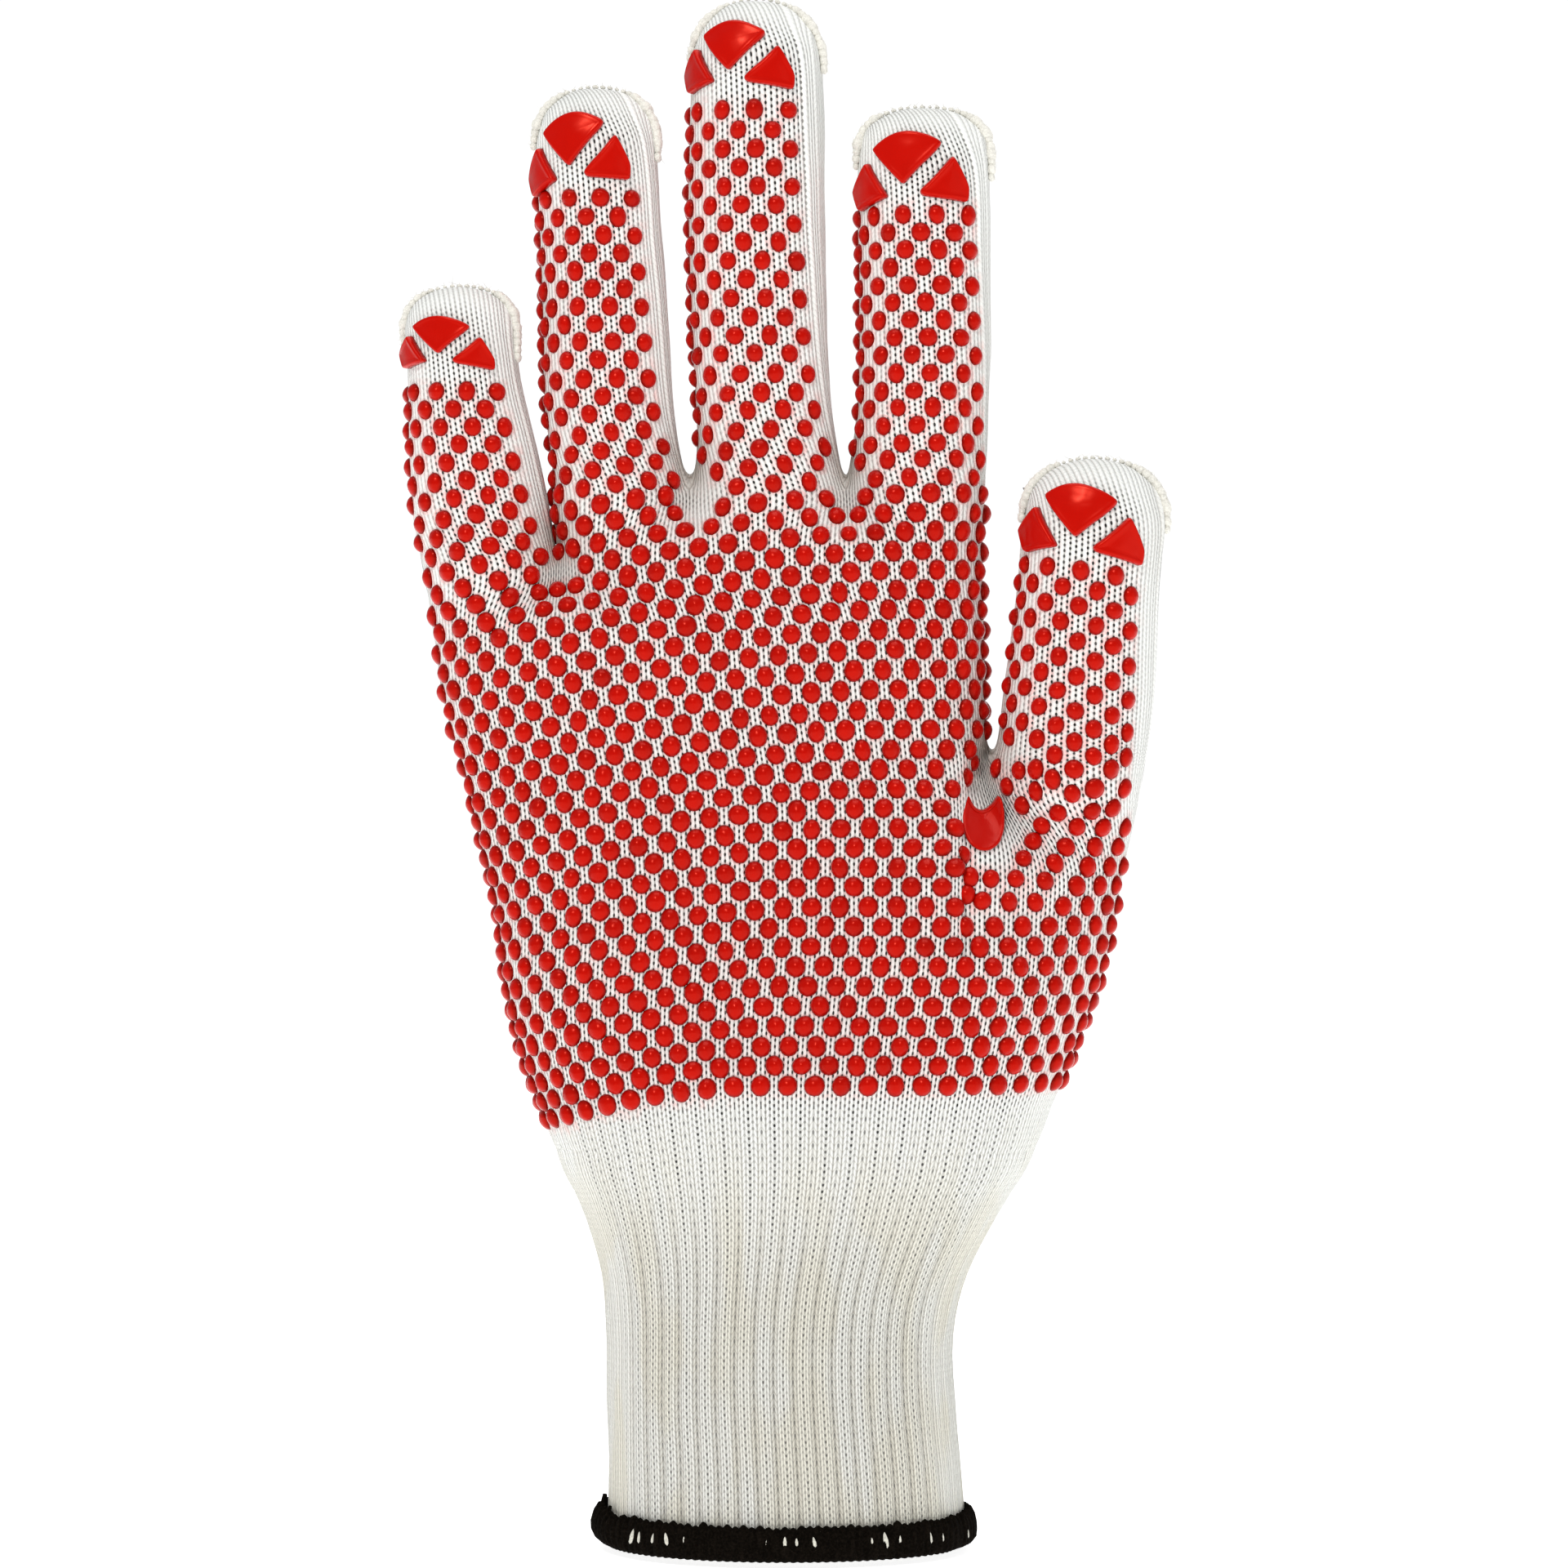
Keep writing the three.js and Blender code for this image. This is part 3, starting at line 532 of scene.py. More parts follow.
# The fold that falls from the thumb crotch down the palm's edge: its line across, how that leans
# rightward above a height, how soon the knit beyond it lies back, where that ends toward the
# thumb, its reach up and down, how deep the knit lies beyond it and how tightly it is drawn to the
# line. The eases are the distances over which it fades out.
FOLD_LINE = 27.7 * MM
FOLD_LEAN = 0.22
FOLD_LEAN_START = 117 * MM
FOLD_RAMP = 0.9 * MM
FOLD_END = 46 * MM
FOLD_END_EASE = 12 * MM
FOLD_BOTTOM = 90 * MM
FOLD_BOTTOM_EASE = 14 * MM
FOLD_TOP = 131 * MM
FOLD_TOP_EASE = 4 * MM
FOLD_DEPTH = 1.8 * MM
FOLD_SQUEEZE = 3.5 * MM
FOLD_PINCH = 0.9 * MM
PALM_FACING = 0.5

# Shade between two digits: its reach from the middle of a crotch, and the paler shade on the
# fingers' thumb-side limbs, with the heights where that starts and ends.
CREASE_REACH = np.array((5, 9, 8)) * MM
LIMB_SHADE = 0.2
LIMB_FACING = 0.5
LIMB_FACING_EASE = 0.4
LIMB_SHADE_START = 150 * MM
LIMB_SHADE_EASE = 12 * MM
LIMB_SHADE_END = 225 * MM
LIMB_SHADE_FADE = 30 * MM

# How far the stitches gape: least share, how squarely the knit has to face the palm side or the
# back on the hand and how much more on the digits, and over what turn it opens.
LEAST_OPEN = 0.06
OPEN_FACING = 0.5
OPEN_EASE = 0.32
DIGIT_OPEN_FACING = 0.22
DIGIT_OPEN_EASE = -0.07
DIGITS_START = 125 * MM
DIGITS_EASE = 45 * MM

# At the tips the gaps close to a share of their size, over a drop below the tip and within a
# margin beside the digit.
TIP_OPEN = 0.25
TIP_DROP = 10 * MM
TIP_MARGIN = 2 * MM

# The knit stretched open below the thumb crotch: centre, reach, share and ease.
WEB_PLACE = (34 * MM, 114 * MM)
WEB_REACH = (11 * MM, 16 * MM)
WEB_OPEN = 0.5
WEB_EASE = 0.4
WEB_FACING = 0.3

# The ridge over a closed fingertip: the angles of its two limbs round the digit and the drops
# of its feet below the tip.
RIDGE_ANGLES = (-84, 77)
RIDGE_DROPS = (9.4 * MM, 11.4 * MM)
RIDGE_BOW = 2.2
RIDGE_TOP = 0.02 * MM
RIDGE_STEPS = 49
RIDGE_LIFT = 0.1

# Its rolls of yarn: the distance between them, their tilt across the ridge in degrees, how uneven
# they are, how small they are at the ridge's feet and on top of the tip, and their shape.
RIDGE_LUMP = 1.2 * MM
RIDGE_TILT = 34
RIDGE_TILT_SPREAD = 8
RIDGE_SIZE_SPREAD = 0.11
RIDGE_SIDE_SPREAD = 0.06 * MM
RIDGE_FOOT_LUMPS = 3
RIDGE_FOOT_SIZE = 0.72
RIDGE_TOP_SIZE = 0.36
RIDGE_TOP_DROP = 2.5 * MM
LUMP_SHAPE = np.array((1, 0.72, 0.62))
LUMP_SIDES = 10
LUMP_RINGS = 6
LUMP_BLUNT = 0.8

# Loose fibres of a roll: how many, the reach and height of their feet on it, how they lean and
# bend, their lengths and radius, and how much any strand tapers.
FIBRES = 2
FIBRE_FOOT = (0.8, 0.4)
FIBRE_LEAN = (0.5, 0.6, 0.5)
FIBRE_BEND = 0.4
FIBRE_LENGTHS = (0.5 * MM, 1.1 * MM)
FIBRE_RADIUS = 0.045 * MM
STRAND_TAPER = 0.6

# Section of the black edge, outside to inside over the end of the cuff: distance out from the
# knit's end line, height, and how much farther out it bulges at the two limbs, in shares of the
# edge's thickness and height.
EDGE_PROFILE = (
    (0.05, 0.9, 0),
    (0.3, 1.0, 0.05),
    (0.75, 0.97, 0.3),
    (1.02, 0.82, 0.55),
    (1.12, 0.6, 0.72),
    (1.12, 0.4, 0.68),
    (1.05, 0.2, 0.35),
    (0.85, 0.06, -0.1),
    (0.45, 0.0, -0.3),
    (-0.4, 0.0, 0),
    (-1.3, 0.0, 0),
    (-1.95, 0.1, 0),
    (-2.15, 0.35, 0),
    (-2.1, 0.62, 0),
    (-1.7, 0.72, 0),
    (-1.45, 0.7, 0),
)
EDGE_STITCHES = 124
EDGE_STITCH_STEPS = 6
EDGE_READ_STEPS = 720

# The edge at its two limbs, by how squarely it faces across: where its section starts to change
# and over what turn, and where its top rises and how much at the left and right limb. At the
# right limb it bulges inward alone, by a multiple, and its top leans in.
EDGE_LIMB = (0.72, 0.26)
EDGE_CORNER = (0.85, 0.13)
EDGE_CORNER_RISES = (0.12, 0.03)
EDGE_RIGHT_BULGE = 2.2
EDGE_RIGHT_LEAN = 0.35

# Its stitches: how uneven their height and fullness are, how far each stands proud of the groove
# beside it on the outside and the inside, where its top starts, and the scallops of its upper and
# lower borders.
EDGE_HEIGHT_SPREAD = 0.03
EDGE_FULLNESS_SPREAD = 0.22
EDGE_PROUD = 0.3 * MM
EDGE_OUTSIDE = 0.2
EDGE_INSIDE = -1.4
EDGE_TOP = 0.9
EDGE_TOP_SCALLOP = 0.5 * MM
EDGE_FOOT_SCALLOP = 0.12 * MM

# Cream flecks where the knit shows through the edge: place across, width and length. They stand
# higher where the edge faces the palm side than at its two ends.
EDGE_FLECKS = table(
    ("x", "width", "length"),
    (-28.0, 0.6, 1.5),
    (-24.9, 0.6, 1.6),
    (-23.1, 1.0, 2.6),
    (-22.0, 0.6, 2.0),
    (-19.9, 0.6, 1.7),
    (-17.8, 0.8, 2.1),
    (-15.0, 0.6, 1.4),
    (-2.5, 0.5, 1.5),
    (0.1, 0.6, 1.8),
    (2.0, 0.5, 1.3),
    (4.6, 0.6, 1.7),
    (13.3, 0.4, 1.0),
    (15.4, 0.9, 2.7),
    (17.6, 0.5, 1.5),
    (22.4, 0.6, 1.9),
    (24.1, 0.6, 1.7),
    (28.1, 0.5, 1.4),
)
FLECK_LOW = 1.7 * MM
FLECK_RISE = 1.6 * MM
FLECK_OUT = 1.14
FLECK_SIDES = 8
FLECK_RINGS = ((1, 0), (0.85, 0.5), (0.4, 0.85))
FLECK_HEIGHT = 0.14 * MM
FLECK_LEAN = 0.12
FLECK_TAPER = 0.35

# Pointed tufts of the edge's yarn at its two ends: place across, height and width, and where
# their feet stand, as shares of the edge's thickness and height.
EDGE_TUFTS = table(("x", "z", "width"), (-28.9, 7.7, 1.8), (-27.6, 6.6, 1.3), (29.4, 6.3, 1.5))
TUFT_OUT = 0.5
TUFT_FOOT = 0.75

# The stage, in metres: the camera, the floor, the room's light, and the lamps with their place,
# size, power in watts and tint.
CAMERA_PLACE = (0, -0.822, 0.12295)
CAMERA_LENS = 116.2
CAMERA_SENSOR = 36
AIM = Vector((0, 0, 0.12))
FLOOR_REACH = 9
FLOOR_LEVEL = -0.0012
FLOOR_COLOUR = (0.9, 0.9, 0.9, 1)
FLOOR_GLOW = 0.86
ROOM_LIGHT = 0.39
ROOM_BEHIND = 0.66
LAMPS = (
    ("key_light", (-0.3, -1.0, 0.95), 0.22, 5.3, (1, 0.985, 0.96)),
    ("fill_light", (0.9, -0.8, 0.25), 0.8, 1.3, (0.96, 0.98, 1)),
    ("top_light", (0.0, -0.1, 1.2), 0.8, 5.2, (1, 1, 1)),
    ("back_light", (0.2, 1.1, 0.6), 0.8, 1.8, (1, 1, 1)),
)


def length_property(name, description, default):
    """A length in metres."""
    return bpy.props.FloatProperty(
        name=name,
        description=description,
        default=default,
        min=0,
        unit="LENGTH",
        subtype="DISTANCE",
    )


def colour_property(name, description, default):
    """A colour in linear red, green and blue."""
    return bpy.props.FloatVectorProperty(
        name=name,
        description=description,
        default=default,
        subtype="COLOR",
        size=3,
        min=0,
        max=1,
    )


class GloveSizes(bpy.types.PropertyGroup):
    """Sizes of the glove's pieces that its surfaces are made with."""

    knit_wall: length_property("Knit wall", "Thickness of the knit in the hand", 1.3 * MM)
    cuff_wall: length_property("Cuff wall", "Thickness of the knit in the cuff", 1.8 * MM)
    course: length_property("Course", "Height of one row of stitches", 1.02 * MM)
    rib_depth: length_property("Rib depth", "Depth of the grooves between the ribs", 0.42 * MM)
    dot_wales: bpy.props.FloatProperty(
        name="Dot pitch across",
        description="Wales from one dot to the next in a row",
        default=3,
    )
    dot_courses: bpy.props.FloatProperty(
        name="Dot pitch up",
        description="Courses from one dot to the next in a column",
        default=6,
    )
    dot_width: length_property("Dot width", "Width of a grip dot", 3.15 * MM)
    dot_length: length_property("Dot length", "Length of a grip dot along the wales", 3.42 * MM)
    dot_height: length_property("Dot height", "Height of a grip dot above the knit", 1.15 * MM)
    pad_thickness: length_property("Pad thickness", "Height of a pad's rim on the knit", 1.2 * MM)
    edge_height: length_property("Edge height", "Height of the black edge round the cuff", 5.5 * MM)
    edge_thickness: length_property("Edge thickness", "How far the edge stands out", 1.45 * MM)
    ridge_width: length_property("Ridge width", "Width of a fingertip's closing ridge", 2.7 * MM)
    seed: bpy.props.IntProperty(
        name="Seed",
        description="Start of the small irregularities",
        default=7,
    )


class GloveColours(bpy.types.PropertyGroup):
    """Colours of the glove's finishes."""

    knit: colour_property("Knit", "Yarn of the hand", (0.91, 0.925, 0.895))
    cuff: colour_property("Cuff", "Warmer yarn of the cuff", (0.87, 0.85, 0.74))
    # Painted shade in the gaps between the stitches.
    shaded_gap: colour_property("Holes", "Depth of the gaps between the stitches", (0.012, 0.012, 0.01))
    # Painted shade between the digits and on their thumb-side limbs.
    crease_shade: colour_property("Crease", "Shade between the digits", (0.31, 0.24, 0.18))
    halo: colour_property("Halo", "Tint of the knit round the dots", (0.97, 0.55, 0.52))
    grip: colour_property("Grip", "Red of the dots and pads", (0.47, 0.003, 0.001))
    # Deeper red for the painted shade at a dot's or pad's foot, and for the darker tone that some
    # dots have at random.
    grip_shade_and_tone: colour_property("Grip foot", "Deeper red at a dot's foot", (0.17, 0.001, 0.0005))
    edge: colour_property("Edge", "Black yarn of the edge", (0.0022, 0.0016, 0.001))
    edge_worn: colour_property("Edge fibre", "Lighter fibres of the edge", (0.009, 0.0065, 0.0045))
    ridge: colour_property("Ridge", "Cream yarn of the fingertip ridges", (0.97, 0.95, 0.87))


# Shape of the hand


def smooth_step(t):
    """Eases from 0 to 1."""
    t = np.clip(t, 0, 1)
    return t * t * (3 - 2 * t)


def even_turns(sides):
    """Angles an even turn apart, once round."""
    return np.arange(sides) / sides * TURN


def lengths_along(points):
    """Distance along a path to each of its points."""
    return np.concatenate(([0], np.cumsum(np.linalg.norm(np.diff(points, axis=0), axis=1))))


def points_along(points, lengths, places):
    """Points of a path at distances along it."""
    return np.stack([np.interp(places, lengths, axis) for axis in points.T], axis=-1)


def section_at(sections, z):
    """Smooth reading of a section table at a height."""
    heights = sections["z"]
    last = len(heights) - 1
    i = int(np.clip(np.searchsorted(heights, z) - 1, 0, last - 1))
    before = max(i - 1, 0)
    after = min(i + 2, last)
    span = heights[i + 1] - heights[i]
    t = min(max((z - heights[i]) / span, 0), 1)
    section = {}
    for name, values in sections.items():
        start, end = values[i], values[i + 1]
        a = (end - values[before]) / (heights[i + 1] - heights[before]) * span
        b = (values[after] - start) / (heights[after] - heights[i]) * span
        ease = t * (1 - t) * ((1 - t) * a - t * b)
        section[name] = start + (end - start) * smooth_step(t) + ease
    return section


def dome_share(part, drop):
    """Width of a rounded tip at a drop below its top, as a share of the full width."""
    rise = min(max(1 - drop / part["dome"], 0), 1)
    return math.sqrt(max(1 - rise ** part["blunt"], 0))


def tube_at(part, z):
    """Centre and half sizes of a tube at a height."""
    section = section_at(part["sections"], z)
    share = dome_share(part, part["tip"] - z) if "dome" in part else 1
    return {
        "x": (section["left"] + section["right"]) / 2,
        "y": section["centre"],
        "z": z,
        "a": (section["right"] - section["left"]) / 2 * share,
        "b": section["depth"] / 2 * share,
        "square": section.get("square", DIGIT_SQUARE),
        "front": section.get("front", part.get("front", 1)),
        "twist": section.get("twist", 0),
    }


def tube_points(tube, turns):
    """Points of a tube at angles, 0 at the palm side and a quarter turn toward the thumb."""
    sine, cosine = np.sin(turns), np.cos(turns)
    power = 2 / tube["square"]
    return np.stack(
        (
            tube["x"] + tube["a"] * np.sign(sine) * np.abs(sine) ** power,
            tube["y"] - tube["b"] * np.sign(cosine) * np.abs(cosine) ** power,
            np.full_like(sine, tube["z"]),
        ),
        axis=-1,
    )


def relief_at(x, z):
    """Height of the palm's hills at a place."""
    return sum(
        height * np.exp(-(((x - hill_x) / across) ** 2 + ((z - hill_z) / up) ** 2))
        for hill_x, hill_z, across, up, height in zip(*PALM_RELIEF.values())
    )


def tube_outline(tube):
    """Points once round a tube from its left limb, with the arc length at each."""
    outline = tube_points(tube, np.linspace(-TURN / 4, TURN * 3 / 4, OUTLINE_STEPS + 1))
    return outline, lengths_along(outline)


def plain_loop(part, z, splits=1):
    """A loop of knit round a tube, with equal arcs for each wale."""
    tube = tube_at(part, z)
    outline, arcs = tube_outline(tube)
    columns = part["strips"] * STRIP_COLUMNS
    front_width = WALES_PER_COLUMN * tube["front"]
    back_width = WALES_PER_COLUMN * (2 - tube["front"])
    left_side, right_side = part["sides"]
    total = columns * 2 * WALES_PER_COLUMN + 2 * (left_side + right_side)
    start = 0.25 - tube["twist"] / 360 - columns * front_width / total / 2

    def points_at(wales):
        arc = (start + np.atleast_1d(wales) / total) % 1 * arcs[-1]
        points = points_along(outline, arcs, arc)
        if "dome" not in part:
            facing = np.maximum((tube["y"] - points[:, 1]) / tube["b"], 0)
            points[:, 1] -= relief_at(points[:, 0], z) * facing
        return points

    ticks = np.arange(columns * splits + 1) / splits
    back_start = columns * front_width + 2 * right_side
    return {
        "front": points_at(ticks * front_width),
        "right": points_at(columns * front_width + right_side)[0],
        "back": points_at(back_start + (columns - ticks) * back_width),
        "left": points_at(-left_side)[0],
    }


def dome_place(part, across, line, share, side):
    """A place on a rounded tip: across and line are places across at its foot and at the closing
    line, share is how far up between them, side is -1 on the palm side and 1 on the back."""
    foot = part["tip"] - part["dome"]
    rise = part["dome"] * max(1 - line**2, 0) ** (1 / part["blunt"])
    tube = tube_at(part, foot + rise * math.sin(share * TURN / 4))
    narrow = max(dome_share(part, part["tip"] - tube["z"]), 1e-6)
    across = across + (line - across) * share
    depth = max(1 - (abs(across) / narrow) ** tube["square"], 0) ** (1 / tube["square"])
    x = tube["x"] + across * tube["a"] / narrow
    return np.array((x, tube["y"] + side * tube["b"] * depth, tube["z"]))


def join_loops(loops, web):
    """Neighbouring loops joined into one, with the crease corners a web's width apart."""
    joined = {"left": loops[0]["left"], "right": loops[-1]["right"]}
    for side, sign in (("front", -1), ("back", 1)):
        points = list(loops[0][side])
        for before, after in zip(loops, loops[1:]):
            corner = (points.pop() + after[side][0]) / 2
            corner[1] = (before["right"][1] + after["left"][1]) / 2 + sign * web / 2
            points += [corner, *after[side][1:]]
        joined[side] = np.array(points)
    return joined


def loop_at(part, z, splits=1):
    """A loop of knit that turns into its children's loops toward the crotches."""
    plain = plain_loop(part, z, splits)
    if not part["children"]:
        return plain
    share = smooth_step((z - part["top"] + part["blend"]) / part["blend"])
    if share == 0:
        return plain
    joined = join_loops([loop_at(child, z) for child in part["children"]], part["web"])
    return {side: plain[side] * (1 - share) + joined[side] * share for side in plain}


def course_droop(part, point):
    """How far the rows of knit have sunk at a place: toward the left limb of the palm, and
    toward the right limb of the thumb."""
    x, _, z = point
    crotch = part["sections"]["z"][1]
    if part["name"] == "thumb":
        left = section_at(part["sections"], z)["left"]
        share = smooth_step((z - crotch + THUMB_DROOP_START) / THUMB_DROOP_EASE)
        return THUMB_SLOPE * (x - left) * share
    climbed = min(z, DROOP_TOP) - DOTS_END

    def sunk(across):
        away = max(DROOP_START + DROOP_LEAN * climbed - across, 0)
        reach = max(DROOP_REACH + DROOP_SPREAD * climbed, DROOP_LEAST_REACH)
        return DROOP_SLOPE * away**2 / (2 * reach)

    if "dome" not in part:
        return sunk(x) * smooth_step((z - DOTS_END) / DROOP_FADE + 1)
    share = smooth_step((z - crotch) / DIGIT_DROOP_FADE)
    middle = (part["sections"]["left"][1] + part["sections"]["right"][1]) / 2
    return sunk(x) * (1 - share) + sunk(middle) * share


class Cage:
    """A skin made loop by loop, with the wale of each face corner and the course of each point."""

    def __init__(self, course):
        self.course = course
        self.points = []
        self.courses = []
        self.faces = []
        self.wales = []
        self.parts = []
        self.crotches = []

    def add_point(self, point, courses):
        """Adds a point and returns its number."""
        self.points.append(np.array(point))
        self.courses.append(courses)
        return len(self.points) - 1

    def add_loop(self, loop, courses, part):
        """Adds a loop's points, each with its course, and returns their numbers."""

        def add(point):
            return self.add_point(point, courses + course_droop(part, point) / self.course)

        return {
            "front": [add(point) for point in loop["front"]],
            "right": add(loop["right"]),
            "back": [add(point) for point in loop["back"]],
            "left": add(loop["left"]),
            "courses": courses,
            "z": loop["left"][2],
        }

    def add_face(self, corners, wales, part):
        """Adds a face with the wale of each corner."""
        self.faces.append(corners)
        self.wales.append(wales)
        self.parts.append(PART_NAMES.index(part["name"]))

    def runs(self, loop, part):
        """The loop as short runs of points from column to column, with the wales at both ends."""
        splits = (len(loop["front"]) - 1) // (part["strips"] * STRIP_COLUMNS)
        first = part["first"] * STRIP_COLUMNS
        left_side, right_side = part["sides"]
        columns = range(part["strips"] * STRIP_COLUMNS)
        wales = [WALES_PER_COLUMN * (first + k) for k in (*columns, len(columns))]
        front, back = loop["front"], loop["back"]
        runs = []
        for k in columns:
            runs.append((front[k * splits : (k + 1) * splits + 1], wales[k], wales[k + 1]))
        end, start = wales[-1], BACK_WALES - wales[-1]
        runs.append(([front[-1], loop["right"]], end, end + right_side))
        runs.append(([loop["right"], back[-1]], start - right_side, start))
        for k in reversed(columns):
            run = back[k * splits : (k + 1) * splits + 1][::-1]
            runs.append((run, BACK_WALES - wales[k + 1], BACK_WALES - wales[k]))
        end = BACK_WALES - wales[0]
        runs.append(([back[0], loop["left"]], end, end + left_side))
        runs.append(([loop["left"], front[0]], wales[0] - left_side, wales[0]))
        return runs

    def add_band(self, lower, upper, part):
        """Faces between two loops. Where the lower one is finer, each column is one face."""
        for (low, start, end), (high, *_) in zip(self.runs(lower, part), self.runs(upper, part)):
            ticks = np.linspace(start, end, len(low))
            if len(low) == len(high):
                for j in range(len(low) - 1):
                    corners = (low[j], low[j + 1], high[j + 1], high[j])
                    self.add_face(corners, (ticks[j], ticks[j + 1], ticks[j + 1], ticks[j]), part)
            else:
                self.add_face((*low, high[-1], high[0]), (*ticks, end, start), part)

    def climb(self, part, loop, heights):
        """Adds a part's loops above a loop and returns the last one."""
        for z, splits in heights:
            made = loop_at(part, z, splits)
            courses = loop["courses"] + (z - loop["z"]) / self.course / part.get("pace", 1)
            upper = self.add_loop(made, courses, part)
            self.add_band(loop, upper, part)
            loop = upper
        return loop

    def grow(self, part, loop):
        """Adds a part above a loop, with its children or its closed tip."""
        heights = [(z * MM, 1) for z in part["rows"]]
        if "dome" in part:
            heights.append((part["tip"] - part["dome"], 1))
            self.close_tip(part, self.climb(part, loop, heights))
            return
        loop = self.climb(part, loop, [*heights, (part["top"], 1)])
        crotches = []
        strips = 0
        for child in part["children"][:-1]:
            strips += child["strips"]
            palm = self.points[loop["front"][strips * STRIP_COLUMNS]]
            back = self.points[loop["back"][strips * STRIP_COLUMNS]]
            middle = (palm + back) / 2 + (0, 0, part["rise"])
            climbed = part["rise"] / 2 + course_droop(part, middle)
            crotches.append(self.add_point(middle, loop["courses"] + climbed / self.course))
            self.crotches.append(middle)
        first = 0
        for child, left, right in zip(
            part["children"], (loop["left"], *crotches), (*crotches, loop["right"])
        ):
            last = first + child["strips"] * STRIP_COLUMNS
            start = {
                "front": loop["front"][first : last + 1],
                "back": loop["back"][first : last + 1],
                "left": left,
                "right": right,
                "courses": loop["courses"],
                "z": loop["z"],
            }
            self.grow(child, start)
            first = last

    def close_tip(self, part, loop):
        """Closes a fingertip: its wales run straight up to a line along its two limbs."""
        spans = [(start, end) for _, start, end in self.runs(loop, part)]
        ring = [*loop["front"], loop["right"], *reversed(loop["back"]), loop["left"]]
        tube = tube_at(part, loop["z"])
        across = np.array([(self.points[index][0] - tube["x"]) / tube["a"] for index in ring])
        first = int(across.argmin())
        ring, spans = ring[first:] + ring[:first], spans[first:] + spans[:first]
        across = np.roll(across, -first)
        size, half = len(ring), len(ring) // 2
        line = (across + across[(size - np.arange(size)) % size]) / 2 * TIP_GATHER
        across[0], across[half] = -1, 1

        def place(j, share):
            if j % half == 0:
                short = 1 - abs(line[1 if j == 0 else half - 1])
                side = across[j] * (1 - share * short * TIP_LIMB_DRAW)
                return dome_place(part, side, side, 1, 0)
            return dome_place(part, across[j], line[j], share, -1 if j < half else 1)

        def add(j, below, share):
            point = place(j, share)
            rise = np.linalg.norm(point - self.points[below]) / self.course / part["pace"]
            return self.add_point(point, self.courses[below] + rise)

        for share in TIP_ROWS:
            row = [add(j, ring[j], share) for j in range(size)]
            for j, (start, end) in enumerate(spans):
                beside = (j + 1) % size
                corners = (ring[j], ring[beside], row[beside], row[j])
                self.add_face(corners, (start, end, end, start), part)
            ring = row
        ridge = [None] + [add(j, ring[j], 1) for j in range(1, half)]
        for j in range(1, half - 1):
            start, end = spans[j]
            corners = (ring[j], ring[j + 1], ridge[j + 1], ridge[j])
            self.add_face(corners, (start, end, end, start), part)
            start, end = spans[size - j - 1]
            behind, beside = ring[size - j - 1], ring[size - j]
            self.add_face((behind, beside, ridge[j], ridge[j + 1]), (start, end, end, start), part)
        start, end = spans[0]
        self.add_face((ring[0], ring[1], ridge[1], ring[-1]), (start, end, end, start), part)
        start, end = spans[half]
        corners = (ring[half], ring[half + 1], ridge[half - 1], ring[half - 1])
        self.add_face(corners, (start, end, end, start), part)


def hand_cage(course):
    """The glove's outer skin as a coarse cage, with finer columns in the ribbed cuff."""
    cage = Cage(course)
    loop = cage.add_loop(loop_at(HAND, MOUTH, CUFF_SPLITS), MOUTH_COURSE, HAND)
    loop = cage.climb(HAND, loop, [(z * MM, CUFF_SPLITS) for z in CUFF_ROWS])
    cage.grow(HAND, loop)
    return cage


# Meshes


def cage_mesh(cage, points):
    """A mesh of the cage with its knit coordinates and parts."""
    mesh = bpy.data.meshes.new("knit_cage")
    mesh.from_pydata([tuple(point) for point in points], [], cage.faces)
    wales = mesh.uv_layers.new(name="wales")
    courses = np.array(cage.courses)
    corners = np.concatenate([np.array(face) for face in cage.faces])
    pairs = np.stack((np.concatenate(cage.wales), courses[corners]), axis=1)
    wales.data.foreach_set("uv", pairs.ravel().astype(np.float32))
    part = mesh.attributes.new("part", "INT", "FACE")
    part.data.foreach_set("value", np.array(cage.parts, np.int32))
    return mesh


def subdivided(mesh, levels):
    """A copy of a mesh with a smooth subdivision surface applied."""
    holder = bpy.data.objects.new("subdivided", mesh)
    bpy.context.collection.objects.link(holder)
    modifier = holder.modifiers.new("smooth", "SUBSURF")
    modifier.levels = levels
    modifier.render_levels = levels
    modifier.uv_smooth = "NONE"
    depsgraph = bpy.context.evaluated_depsgraph_get()
    result = bpy.data.meshes.new_from_object(holder.evaluated_get(depsgraph), depsgraph=depsgraph)
    bpy.data.objects.remove(holder)
    return result


def read(collection, name, width=1, kind=float):
    """One property of a mesh's elements as an array."""
    values = np.empty(len(collection) * width, kind)
    collection.foreach_get(name, values)
    return values.reshape(-1, width) if width > 1 else values


def fitted_points(cage, levels, rounds=2):
    """Cage points moved out until the smoothed skin passes through the wanted places."""
    wanted = np.array(cage.points)
    points = wanted.copy()
    for _ in range(rounds):
        mesh = cage_mesh(cage, points)
        smooth = subdivided(mesh, levels)
        points += wanted - read(smooth.vertices, "co", 3)[: len(points)]
        bpy.data.meshes.remove(smooth)
        bpy.data.meshes.remove(mesh)
    return points


def add_piece(name, mesh, material, slot, *nodes):
    """Puts a finished mesh in the scene as a piece that stands for CAD nodes."""
    mesh.name = name
    mesh.materials.clear()
    mesh.materials.append(material)
    mesh.shade_smooth()
    piece = bpy.data.objects.new(name, mesh)
    bpy.context.collection.objects.link(piece)
    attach(piece, "root")
    if nodes:
        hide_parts(*nodes)
    return piece


def mesh_of(points, faces):
    """A mesh from points and faces, with its faces turned outward."""
    mesh = bpy.data.meshes.new("piece")
    mesh.from_pydata([tuple(point) for point in points], [], [tuple(face) for face in faces])
    form = bmesh.new()
    form.from_mesh(mesh)
    bmesh.ops.recalc_face_normals(form, faces=form.faces)
    form.to_mesh(mesh)
    form.free()
    return mesh


